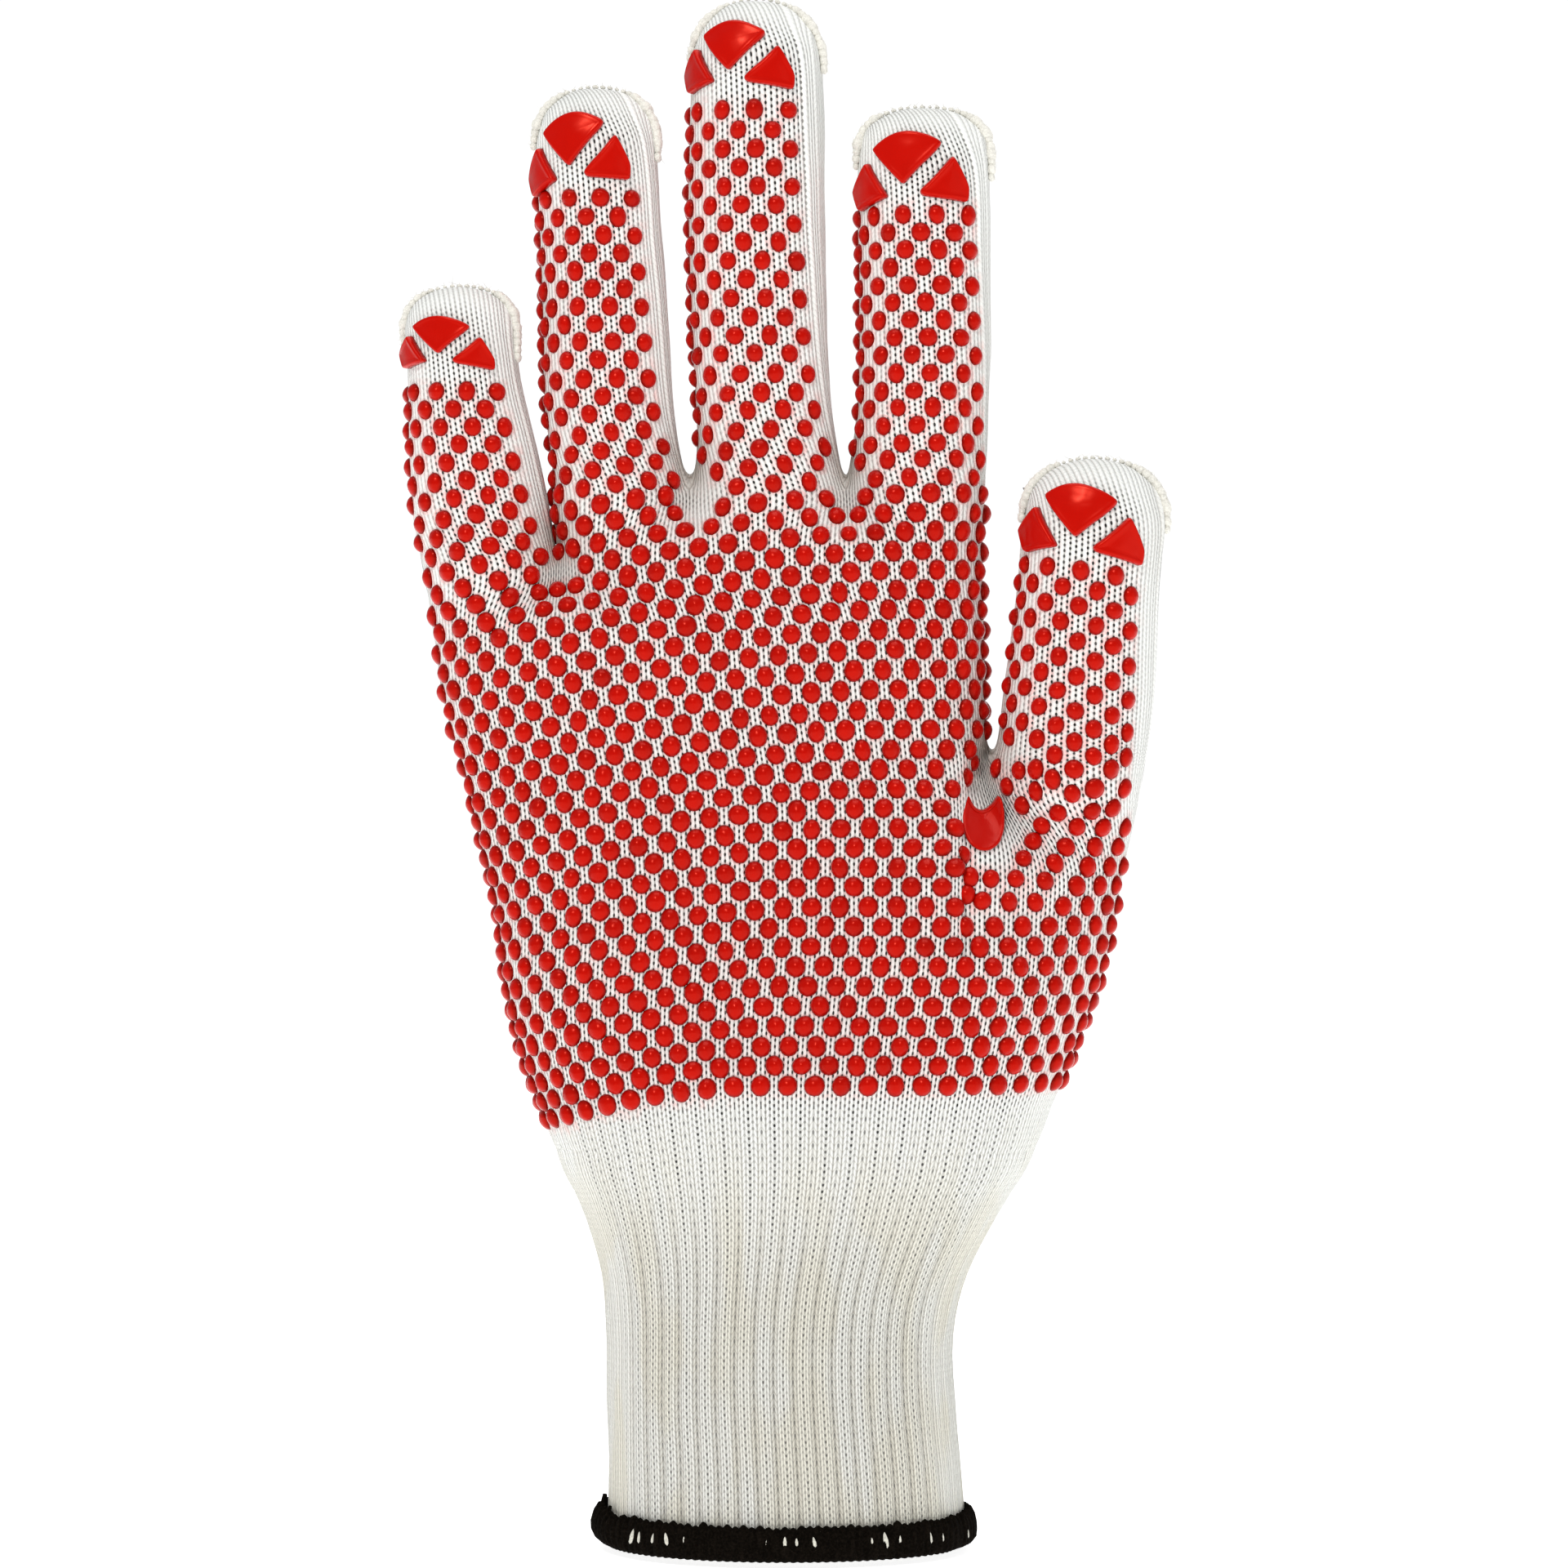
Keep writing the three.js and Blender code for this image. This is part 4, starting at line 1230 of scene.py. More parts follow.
class Lot:
    """Points and faces of many small bodies gathered for one mesh, with values for each point."""

    def __init__(self):
        self.points = []
        self.faces = []
        self.values = {}
        self.count = 0

    def add(self, points, faces, **values):
        """Adds one body. A value is one number for the whole body or one for each point."""
        self.points.append(np.asarray(points))
        self.faces += [tuple(index + self.count for index in face) for face in faces]
        self.count += len(points)
        for name, value in values.items():
            column = np.broadcast_to(np.asarray(value, np.float32), len(points))
            self.values.setdefault(name, []).append(column)

    def mesh(self):
        """All the bodies as one mesh."""
        mesh = mesh_of(np.concatenate(self.points), self.faces)
        for name, columns in self.values.items():
            layer = mesh.attributes.new(name, "FLOAT", "POINT")
            layer.data.foreach_set("value", np.concatenate(columns))
        return mesh


def ring_faces(count, size, closed=False, cap_start=False, cap_end=False, peak=False):
    """Faces between rings of equal size, in order. A peak is one last point after the rings."""
    faces = []
    for i in range(count if closed else count - 1):
        low, high = i * size, (i + 1) % count * size
        for j in range(size):
            beside = (j + 1) % size
            faces.append((low + j, low + beside, high + beside, high + j))
    top = (count - 1) * size
    if cap_start:
        faces.append(tuple(reversed(range(size))))
    if cap_end:
        faces.append(tuple(range(top, top + size)))
    if peak:
        faces += [(top + j, top + (j + 1) % size, count * size) for j in range(size)]
    return faces


# Finishes


class Wire:
    """A number in a material's nodes that can be worked with like a plain number."""

    def __init__(self, tree, socket):
        self.tree = tree
        self.socket = socket

    def math(self, operation, *others):
        node = self.tree.nodes.new("ShaderNodeMath")
        node.operation = operation
        for place, value in enumerate((self, *others)):
            connect(self.tree, value, node.inputs[place])
        return Wire(self.tree, node.outputs[0])

    def __add__(self, other):
        return self.math("ADD", other)

    def __sub__(self, other):
        return self.math("SUBTRACT", other)

    def __rsub__(self, other):
        return (self * -1).math("ADD", other)

    def __mul__(self, other):
        return self.math("MULTIPLY", other)

    def __truediv__(self, other):
        return self.math("DIVIDE", other)

    __radd__ = __add__
    __rmul__ = __mul__

    def absolute(self):
        return self.math("ABSOLUTE")

    def fraction(self):
        return self.math("FRACT")

    def whole(self):
        return self.math("FLOOR")

    def eased(self, low, high):
        """Eases from 0 at low to 1 at high."""
        node = self.tree.nodes.new("ShaderNodeMapRange")
        node.interpolation_type = "SMOOTHSTEP"
        connect(self.tree, self, node.inputs["Value"])
        node.inputs["From Min"].default_value = min(low, high)
        node.inputs["From Max"].default_value = max(low, high)
        node.inputs["To Min"].default_value = 0 if low < high else 1
        node.inputs["To Max"].default_value = 1 if low < high else 0
        return Wire(self.tree, node.outputs["Result"])


def connect(tree, value, socket):
    """Links a wire to a socket, or sets the socket to a plain value."""
    if isinstance(value, Wire):
        tree.links.new(value.socket, socket)
    else:
        socket.default_value = value


class Finish:
    """A material with its shader and the few nodes that the glove's finishes share."""

    def __init__(self, name, roughness, specular, sheen=0.0):
        self.material = bpy.data.materials.new(name)
        self.material.use_nodes = True
        self.tree = self.material.node_tree
        self.shader = self.tree.nodes["Principled BSDF"]
        self.shader.inputs["Roughness"].default_value = roughness
        self.shader.inputs["Specular IOR Level"].default_value = specular
        self.shader.inputs["Sheen Weight"].default_value = sheen
        self.shader.inputs["Sheen Roughness"].default_value = 0.6

    def knit_map(self):
        """Wales and courses of the knit."""
        node = self.tree.nodes.new("ShaderNodeUVMap")
        node.uv_map = "wales"
        parts = self.tree.nodes.new("ShaderNodeSeparateXYZ")
        self.tree.links.new(node.outputs["UV"], parts.inputs["Vector"])
        return Wire(self.tree, parts.outputs["X"]), Wire(self.tree, parts.outputs["Y"])

    def place(self):
        """Place on the object, in metres."""
        node = self.tree.nodes.new("ShaderNodeTexCoord")
        return node.outputs["Object"]

    def height(self):
        """Height on the object, in metres."""
        parts = self.tree.nodes.new("ShaderNodeSeparateXYZ")
        self.tree.links.new(self.place(), parts.inputs["Vector"])
        return Wire(self.tree, parts.outputs["Z"])

    def attribute(self, name):
        """A number stored on the mesh."""
        node = self.tree.nodes.new("ShaderNodeAttribute")
        node.attribute_name = name
        return Wire(self.tree, node.outputs["Fac"])

    def noise(self, size, detail=2.0, stretch=(1, 1, 1)):
        """Soft noise with features of a size in metres."""
        node = self.tree.nodes.new("ShaderNodeTexNoise")
        mapping = self.tree.nodes.new("ShaderNodeMapping")
        mapping.inputs["Scale"].default_value = stretch
        self.tree.links.new(self.place(), mapping.inputs["Vector"])
        self.tree.links.new(mapping.outputs["Vector"], node.inputs["Vector"])
        node.inputs["Scale"].default_value = 1 / size
        node.inputs["Detail"].default_value = detail
        return Wire(self.tree, node.outputs["Fac"])

    def chance(self, first, second):
        """One even random number for each pair of whole numbers."""
        node = self.tree.nodes.new("ShaderNodeTexWhiteNoise")
        node.noise_dimensions = "2D"
        pair = self.tree.nodes.new("ShaderNodeCombineXYZ")
        connect(self.tree, first, pair.inputs["X"])
        connect(self.tree, second, pair.inputs["Y"])
        self.tree.links.new(pair.outputs["Vector"], node.inputs["Vector"])
        return Wire(self.tree, node.outputs["Value"])

    def blend(self, share, first, second):
        """A colour between two colours."""
        node = self.tree.nodes.new("ShaderNodeMix")
        node.data_type = "RGBA"
        node.clamp_factor = True
        connect(self.tree, share, node.inputs["Factor"])
        for value, socket in ((first, node.inputs["A"]), (second, node.inputs["B"])):
            if isinstance(value, Wire):
                self.tree.links.new(value.socket, socket)
            else:
                socket.default_value = (*value, 1)
        return Wire(self.tree, node.outputs["Result"])

    def coat(self, colour, relief, depth):
        """Links the colour and the surface relief, depth in metres, and returns the material."""
        self.tree.links.new(colour.socket, self.shader.inputs["Base Color"])
        bump = self.tree.nodes.new("ShaderNodeBump")
        bump.inputs["Strength"].default_value = 1
        bump.inputs["Distance"].default_value = depth
        self.tree.links.new(relief.socket, bump.inputs["Height"])
        self.tree.links.new(bump.outputs["Normal"], self.shader.inputs["Normal"])
        return self.material


# The knit's finish. A stitch is two slanting legs, with a gap between each two legs. A gap has a
# half width in legs and a half length in courses, and both change where the knit gapes, on the
# cuff and in the purl columns between its ribs. Pairs are the start and end of an ease.
STITCH_SLANT = 0.7
GAP_WIDTH = {"hand": 0.18, "open": 0.02, "cuff": 0.08}
GAP_LENGTH = {"hand": 0.3, "cuff": -0.07, "purl": 0.08}
GAP_EDGE = (1.2, 0.75)
LINE_EDGE = (0.18, 0.03)

# How much painted shade darkens a gap at least, and what chance adds to that: on the hand, in the
# seam between two ribs and along a rib. A seam's gaps close where the cuff is drawn in.
HAND_GAP = (0.85, 0.35)
SEAM_GAP = (0.69, 0.3)
CORD_GAP = (0.1, 0.3)
PURL_GAP = 0.55
SEAM_CLOSED = 0.22

# The cuff from above: where it starts, is drawn in and is warmer.
CUFF_START = (77 * MM, 66 * MM)
CUFF_DRAWN_IN = (62 * MM, 44 * MM)
CUFF_WARMTH = (75 * MM, 45 * MM)

# Eases of the cuff's columns, in wales from the middle of a purl column, and how much shallower a
# purl column is above the part that is drawn in.
PURL_EDGE = (0.85, 0.15)
SEAM_EDGE = (1.15, 1.45)
BESIDE_PURL = 0.5
BESIDE_PURL_EDGE = (0.2, 0.05)
BESIDE_PURL_FADE = 0.6
PURL_LOOSE = 0.25

# How much each detail of a stitch shades its yarn.
SHADE = {
    "beside_leg": 0.14,
    "beside_leg_on_cuff": -0.06,
    "crossing": 0.12,
    "crossing_on_open_cuff": 0.3,
    "line": 0.32,
    "line_on_cuff": -0.18,
    "line_beside_purl": 0.4,
    "fibres": 0.16,
    "purl": 0.12,
    "open_purl": 0.28,
    "open_seam": 0.08,
}
SHADED_YARN = (0.3, 0.28, 0.23)

# The tint that the dots' rubber gives the knit: its reach from a dot's middle, the share in its
# ring and the share everywhere between the dots.
WALE_WIDTH = 1.6 * MM
HALO_EDGE = (2.05 * MM, 1.6 * MM)
HALO_RING = 0.62
HALO_BETWEEN = 0.17

# How much painted shade the creases put on the legs, and how much more on the places between them.
CREASE_LEGS = 0.62
CREASE_BETWEEN = 0.3

# Loose fibres, and stains that warm the cuff in patches.
FIBRE_SIZE = 0.35 * MM
STAIN_SIZE = 7 * MM
STAIN_EDGE = (0.42, 0.58)
STAIN_SHARE = 0.65

# Heights of the knit's relief.
RELIEF = {"leg": 0.65, "stitch": 0.35, "shaded_gap": 0.5, "fibres": 0.3, "seam": 0.4}
KNIT_RELIEF = 0.3 * MM


def cuff_columns(wale, height):
    """Shares of the cuff at a place: the whole of it, where it is drawn in, a purl column, a
    seam between two ribs and the line beside a purl column."""
    cuff = height.eased(*CUFF_START)
    drawn_in = height.eased(*CUFF_DRAWN_IN)
    from_purl = ((wale / RIB_WALES + 0.5).fraction() - 0.5).absolute() * RIB_WALES
    purl = from_purl.eased(*PURL_EDGE) * cuff * (drawn_in * (1 - PURL_LOOSE) + PURL_LOOSE)
    seam = from_purl.eased(*SEAM_EDGE) * cuff
    beside = (from_purl - BESIDE_PURL).absolute().eased(*BESIDE_PURL_EDGE)
    return cuff, drawn_in, purl, seam, beside * cuff * (1 - drawn_in * BESIDE_PURL_FADE)


def stitch_gap(knit, gap, across, course, openness, cuff, drawn_in):
    """How far a place lies in the gap between two legs, times the painted shade that darkens the
    gap there. The gaps are numbered round the knit, and every second one, in the middle of a wale,
    stands half a course higher."""
    middle_gap = (gap * 0.5).fraction() * 2
    gap_course = course + middle_gap * 0.5
    chance = knit.chance(gap, gap_course.whole())
    place_in_rib = (gap / (2 * RIB_WALES) + 0.25).fraction()
    in_purl = (place_in_rib - 0.25).absolute().eased(0.02, 0.0) * cuff
    in_seam = (place_in_rib - 0.75).absolute().eased(0.02, 0.0) * cuff
    in_cord = (1 - middle_gap) * cuff - in_purl
    every = (gap_course.fraction() - 0.5).absolute()
    second = ((gap_course * 0.5).fraction() - 0.5).absolute() * 2
    along = every + (second - every) * in_purl

    def dark(pair):
        least, spread = pair
        return chance * spread + least

    darkness = dark(HAND_GAP) * (1 - cuff) + dark(CORD_GAP) * in_cord + in_purl * PURL_GAP
    darkness = darkness + in_seam * (dark(SEAM_GAP) - drawn_in * SEAM_CLOSED)
    width = openness * GAP_WIDTH["open"] + cuff * GAP_WIDTH["cuff"] + GAP_WIDTH["hand"]
    length = cuff * GAP_LENGTH["cuff"] + in_purl * GAP_LENGTH["purl"] + GAP_LENGTH["hand"]
    spot = (across / width).math("POWER", 2.0) + (along / length).math("POWER", 2.0)
    return spot.eased(*GAP_EDGE) * darkness * openness


def from_dots(wale, course, sizes):
    """Distance over the knit to the nearest place of the dots' lattice, in metres."""
    nearest = None
    for shift in (0.0, 0.5):
        across = ((wale / sizes.dot_wales + shift + 0.5).fraction() - 0.5) * sizes.dot_wales
        up = ((course / sizes.dot_courses + shift + 0.5).fraction() - 0.5) * sizes.dot_courses
        across, up = across * WALE_WIDTH, up * sizes.course
        reach = (across * across + up * up).math("SQRT")
        nearest = reach if nearest is None else nearest.math("MINIMUM", reach)
    return nearest


def knit_finish(colours, sizes):
    """Plain knit: two slanting legs for each wale, with gaps between them."""
    knit = Finish("white_knit", roughness=0.9, sheen=0.25, specular=0.2)
    wale, course = knit.knit_map()
    openness = knit.attribute("openness")
    height = knit.height()
    gap = (wale * 2 + 0.5).whole()
    across = (wale * 2 - gap).absolute()
    leg = (across * math.pi).math("SINE")
    slant = ((wale.fraction() * 2) - 1).absolute()
    stitch = ((course - slant * STITCH_SLANT) * math.pi).math("SINE").absolute()
    cuff, drawn_in, purl, seam, beside_purl = cuff_columns(wale, height)
    shaded_gap = stitch_gap(knit, gap, across, course, openness, cuff, drawn_in)
    fibre = knit.noise(FIBRE_SIZE, detail=3)

    stains = knit.noise(STAIN_SIZE, detail=1, stretch=(1, 1, 0.3)).eased(*STAIN_EDGE)
    warmth = height.eased(*CUFF_WARMTH) * (stains * STAIN_SHARE + (1 - STAIN_SHARE))
    yarn = knit.blend(warmth, colours.knit, colours.cuff)
    beside_leg = (1 - leg) * openness * (cuff * SHADE["beside_leg_on_cuff"] + SHADE["beside_leg"])
    crossing = cuff * openness * SHADE["crossing_on_open_cuff"] + SHADE["crossing"]
    line = cuff * SHADE["line_on_cuff"] + beside_purl * SHADE["line_beside_purl"] + SHADE["line"]
    shade = beside_leg + (1 - stitch).math("POWER", 2.0) * crossing
    shade = shade + across.eased(*LINE_EDGE) * line + (fibre - 0.5) * SHADE["fibres"]
    shade = shade + purl * (openness * SHADE["open_purl"] + SHADE["purl"])
    shade = shade + seam * openness * SHADE["open_seam"]
    yarn = knit.blend(shade, yarn, SHADED_YARN)

    ring = from_dots(wale, course, sizes).eased(*HALO_EDGE)
    halo = knit.attribute("dotted") * (ring * HALO_RING + HALO_BETWEEN)
    yarn = knit.blend(halo, yarn, colours.halo)
    # Painted shade in the creases between the digits and on the fingers' thumb-side limbs.
    crease_shade = knit.attribute("crease_shade") * ((1 - leg) * CREASE_BETWEEN + CREASE_LEGS)
    yarn = knit.blend(crease_shade, yarn, colours.crease_shade)
    # Painted shade in the gaps between the legs.
    colour = knit.blend(shaded_gap, yarn, colours.shaded_gap)

    relief = leg * (stitch * RELIEF["stitch"] + RELIEF["leg"]) - shaded_gap * RELIEF["shaded_gap"]
    relief = relief + fibre * RELIEF["fibres"] - purl - seam * RELIEF["seam"]
    return knit.coat(colour, relief, depth=KNIT_RELIEF)


# The rubber: tint of its shine, share of its height over which painted shade darkens its foot, and
# relief.
GRIP_SHINE = (1, 0.13, 0.08, 1)
GRIP_SHADE_HEIGHT = 0.66
GRIP_RELIEF = 0.12 * MM


def grip_finish(name, colours, pebble):
    """Satin red rubber, with painted shade that deepens it toward its foot, and darker at random.
    """
    grip = Finish(name, roughness=0.23, specular=0.6)
    grip.shader.inputs["Specular Tint"].default_value = GRIP_SHINE
    crown = grip.attribute("crown")
    tone = grip.attribute("tone")
    waves = grip.noise(pebble, detail=1)
    # Painted shade: the red deepens toward the foot of each dot and pad.
    red = grip.blend(crown.eased(0.0, GRIP_SHADE_HEIGHT), colours.grip_shade_and_tone, colours.grip)
    colour = grip.blend(tone * 0.3 + (waves - 0.5) * 0.2, red, colours.grip_shade_and_tone)
    return grip.coat(colour, waves, depth=GRIP_RELIEF)


# Eases of the yarn's fine fibres and of its strands, the fibres' share, and the yarn's relief.
YARN_FIBRES = (0.35, 0.75)
YARN_STRANDS = (0.5, 0.7)
YARN_FIBRE_SHARE = 0.7
YARN_RELIEF = 0.3 * MM


def yarn_finish(name, base, light, size, sheen=0.2, specular=0.15):
    """Fluffy yarn with lighter and darker fibres."""
    yarn = Finish(name, roughness=0.95, sheen=sheen, specular=specular)
    fibre = yarn.noise(size, detail=4)
    strand = yarn.noise(size * 3, detail=2, stretch=(1, 1, 0.35))
    lightness = fibre.eased(*YARN_FIBRES) * YARN_FIBRE_SHARE
    lightness = lightness + strand.eased(*YARN_STRANDS) * (1 - YARN_FIBRE_SHARE)
    colour = yarn.blend(lightness, base, light)
    return yarn.coat(colour, fibre * 0.6 + strand, depth=YARN_RELIEF)


# Pieces


def vertex_stitches(mesh):
    """The wale and course of each vertex, from any of its face corners."""
    corners = read(mesh.loops, "vertex_index", kind=np.int32)
    stitches = np.zeros((len(mesh.vertices), 2))
    stitches[corners] = read(mesh.uv_layers["wales"].data, "uv", 2)
    return stitches.T


def vertex_normals(mesh):
    """The outward direction at each vertex."""
    return read(mesh.vertex_normals, "vector", 3)


def evened_cuff(points, wales, courses, course_height):
    """Points of the skin, with those where the cuff's fine columns end moved to even places."""
    front_wales = STRIP_WALES * HAND["strips"]
    last_wale = BACK_WALES + 2 * OUTER_SIDE
    stops = np.array((0, front_wales, BACK_WALES - front_wales, BACK_WALES, last_wale))
    points = points.copy()
    for i in np.flatnonzero((points[:, 2] > EVEN_LOW) & (points[:, 2] < EVEN_TOP)):
        z = points[i, 2]
        tube = tube_at(HAND, z)
        outline, arcs = tube_outline(tube)
        widths = np.array((0, tube["front"], 1, 2 - tube["front"], 1))
        spans = np.cumsum(np.diff(stops, prepend=0) * widths)
        start = 0.25 - spans[1] / spans[-1] / 2
        arc = (start + np.interp(wales[i] % stops[-1], stops, spans) / spans[-1]) % 1 * arcs[-1]
        even = points_along(outline, arcs, arc)
        even[1] -= relief_at(even[0], z) * max((tube["y"] - even[1]) / tube["b"], 0)
        pace = course_height * HAND["pace"]
        course = MOUTH_COURSE + (z - MOUTH) / pace + course_droop(HAND, even) / course_height
        even[2] += (courses[i] - course) * pace
        share = smooth_step((z - EVEN_LOW) / EVEN_EASE) * smooth_step((EVEN_TOP - z) / EVEN_EASE)
        points[i] += (even - points[i]) * share
    return points


def folded(points, normals):
    """Points with the palm side past the fold's line pinched in and set deeper."""
    x, _, z = points.T
    past = x - FOLD_LINE - FOLD_LEAN * np.maximum(z - FOLD_LEAN_START, 0)
    away = past / FOLD_SQUEEZE
    low, high = (z - FOLD_BOTTOM) / FOLD_BOTTOM_EASE, (FOLD_TOP - z) / FOLD_TOP_EASE
    share = smooth_step(low) * smooth_step(high) * smooth_step(-normals[:, 1] / PALM_FACING)
    beyond = smooth_step(past / FOLD_RAMP) * smooth_step((FOLD_END - x) / FOLD_END_EASE)
    pinched = FOLD_PINCH * away * np.exp(-(away**2)) * share
    return points + np.stack((-pinched, FOLD_DEPTH * beyond * share, 0 * z), axis=1)


def shaped_knit(mesh, sizes):
    """Points of the fine skin with the cuff's ribs and the fabric's small unevenness."""
    normals = vertex_normals(mesh)
    wales, courses = vertex_stitches(mesh)
    points = evened_cuff(read(mesh.vertices, "co", 3), wales, courses, sizes.course)
    from_groove = np.abs((wales + RIB_WALES / 2) % RIB_WALES - RIB_WALES / 2)
    groove = smooth_step((GROOVE_START - from_groove) / GROOVE_EASE)
    saddle = smooth_step((from_groove - SADDLE_START) / SADDLE_EASE) * SADDLE_DEPTH
    facing = RIBS_AT_LIMBS + (1 - RIBS_AT_LIMBS) * normals[:, 1] ** 2
    fade = smooth_step((RIB_END - points[:, 2]) / RIB_FADE)
    push = -(groove + saddle) * sizes.rib_depth * fade * facing
    bumps = [noise.noise(Vector(point) / UNEVEN_REACH) for point in points]
    push += np.array(bumps) * UNEVEN_HEIGHT
    points = points + normals * push[:, None]
    return folded(points, normals), normals


def crease_shade_share(points, normals, crotches):
    """How deep each point lies between two digits, which sets its painted shade, with a little
    painted shade on their thumb-side limbs.
    """
    z = points[:, 2]
    share = LIMB_SHADE * smooth_step((normals[:, 0] - LIMB_FACING) / LIMB_FACING_EASE)
    share *= smooth_step((z - LIMB_SHADE_START) / LIMB_SHADE_EASE)
    share *= smooth_step((LIMB_SHADE_END - z) / LIMB_SHADE_FADE)
    for crotch in crotches:
        away = (points - crotch) / CREASE_REACH
        share = np.maximum(share, np.exp(-(away**2).sum(axis=1)))
    return share


def openness_share(points, normals):
    """How far the stitches gape, which sets how much painted shade shows in their gaps: widest
    toward the palm and the back, closed on limbs and tips.
    """
    x, _, z = points.T
    on_digits = smooth_step((z - DIGITS_START) / DIGITS_EASE)
    turned = np.abs(normals[:, 1]) - OPEN_FACING - DIGIT_OPEN_FACING * on_digits
    share = smooth_step(turned / (OPEN_EASE + DIGIT_OPEN_EASE * on_digits))
    for part in DIGITS.values():
        low, high = part["sections"]["left"][-1], part["sections"]["right"][-1]
        inside = np.abs(x - (low + high) / 2) < (high - low) / 2 + TIP_MARGIN
        drop = np.where(inside, np.maximum(part["tip"] - z, 0), part["tip"])
        share *= TIP_OPEN + (1 - TIP_OPEN) * smooth_step(drop / TIP_DROP)
    web = np.hypot((x - WEB_PLACE[0]) / WEB_REACH[0], (z - WEB_PLACE[1]) / WEB_REACH[1])
    stretched = smooth_step((1 - web) / WEB_EASE) * smooth_step(-normals[:, 1] / WEB_FACING)
    return LEAST_OPEN + (1 - LEAST_OPEN) * np.maximum(share, WEB_OPEN * stretched)


def set_attribute(mesh, name, values):
    """Stores one number for each vertex, for the finishes to read."""
    layer = mesh.attributes.new(name, "FLOAT", "POINT")
    layer.data.foreach_set("value", np.asarray(values, np.float32))


def knit_mesh(sizes):
    """The knit as one closed skin: fine outside, plainer inside, joined at the mouth."""
    cage = hand_cage(sizes.course)
    points = fitted_points(cage, OUTER_LEVELS)
    coarse = cage_mesh(cage, points)
    outer = subdivided(coarse, OUTER_LEVELS)
    shaped, normals = shaped_knit(outer, sizes)
    outer.vertices.foreach_set("co", shaped.ravel().astype(np.float32))
    set_attribute(outer, "crease_shade", crease_shade_share(shaped, normals, cage.crotches))
    set_attribute(outer, "openness", openness_share(shaped, normals))

    inner = subdivided(coarse, INNER_LEVELS)
    inside = read(inner.vertices, "co", 3)
    hand = smooth_step((inside[:, 2] - CUFF_TOP + CUFF_TOP_EASE) / (2 * CUFF_TOP_EASE))
    wall = sizes.cuff_wall + (sizes.knit_wall - sizes.cuff_wall) * hand
    normals = vertex_normals(inner)
    inside = folded(inside - normals * wall[:, None], normals)
    inner.vertices.foreach_set("co", inside.ravel().astype(np.float32))
    inner.flip_normals()
    part = inner.attributes["part"]
    part.data.foreach_set("value", np.full(len(inner.polygons), INSIDE, np.int32))
    set_attribute(inner, "crease_shade", np.zeros(len(inside)))
    set_attribute(inner, "openness", np.full(len(inside), INSIDE_OPEN))

    form = bmesh.new()
    form.from_mesh(outer)
    form.from_mesh(inner)
    rims = [edge for edge in form.edges if edge.is_boundary]
    bridge = bmesh.ops.bridge_loops(form, edges=rims)
    layer = form.faces.layers.int["part"]
    for face in bridge["faces"]:
        face[layer] = INSIDE
    bmesh.ops.recalc_face_normals(form, faces=form.faces)
    mesh = bpy.data.meshes.new("knit")
    form.to_mesh(mesh)
    form.free()
    set_attribute(mesh, "dotted", np.zeros(len(mesh.vertices)))
    return mesh


def lattice_dots(mesh, sizes):
    """Where the printed lattice of dots falls on the knit. Each has its place, outward and up
    directions, part, wale and course."""
    parts = read(mesh.attributes["part"].data, "value", kind=np.int32)
    corner_counts = read(mesh.polygons, "loop_total", kind=np.int32)
    starts = read(mesh.polygons, "loop_start", kind=np.int32)
    chosen = np.flatnonzero((parts != INSIDE) & (corner_counts == 4))
    corners = starts[chosen][:, None] + np.arange(4)
    maps = read(mesh.uv_layers["wales"].data, "uv", 2)[corners]
    right = maps[..., 0] > (maps[..., 0].min(axis=1) + maps[..., 0].max(axis=1))[:, None] / 2
    order = np.lexsort((maps[..., 1], right), axis=1)
    corners = np.take_along_axis(corners, order, axis=1)
    maps = np.take_along_axis(maps, order[..., None], axis=1)
    vertices = read(mesh.loops, "vertex_index", kind=np.int32)[corners]
    points = read(mesh.vertices, "co", 3)[vertices]
    normals = vertex_normals(mesh)[vertices]
    wales, courses = maps[..., 0], maps[..., 1]
    upright = (np.abs(np.diff(wales, axis=1)[:, (0, 2)]) < UPRIGHT_WALES).all(axis=1)
    start, width = wales[:, 0], wales[:, 2] - wales[:, 0]
    up = points[:, 1] + points[:, 3] - points[:, 0] - points[:, 2]
    found = []
    for shift in (0, 0.5):
        wale = (np.ceil(start / sizes.dot_wales - shift) + shift) * sizes.dot_wales
        across = (wale - start) / width
        foot = courses[:, 0] * (1 - across) + courses[:, 2] * across
        rise = courses[:, 1] * (1 - across) + courses[:, 3] * across - foot
        course = (np.ceil(foot / sizes.dot_courses - shift) + shift) * sizes.dot_courses
        climb = (course - foot) / rise
        inside = np.flatnonzero(upright & (across < 1) & (climb < 1))
        s, t = across[inside], climb[inside]
        weight = np.stack(((1 - s) * (1 - t), (1 - s) * t, s * (1 - t), s * t), axis=1)[..., None]
        place, outward = ((values[inside] * weight).sum(axis=1) for values in (points, normals))
        part = parts[chosen][inside]
        found.append((place, outward, up[inside], part, wale[inside], course[inside]))
    return [np.concatenate(columns) for columns in zip(*found)]


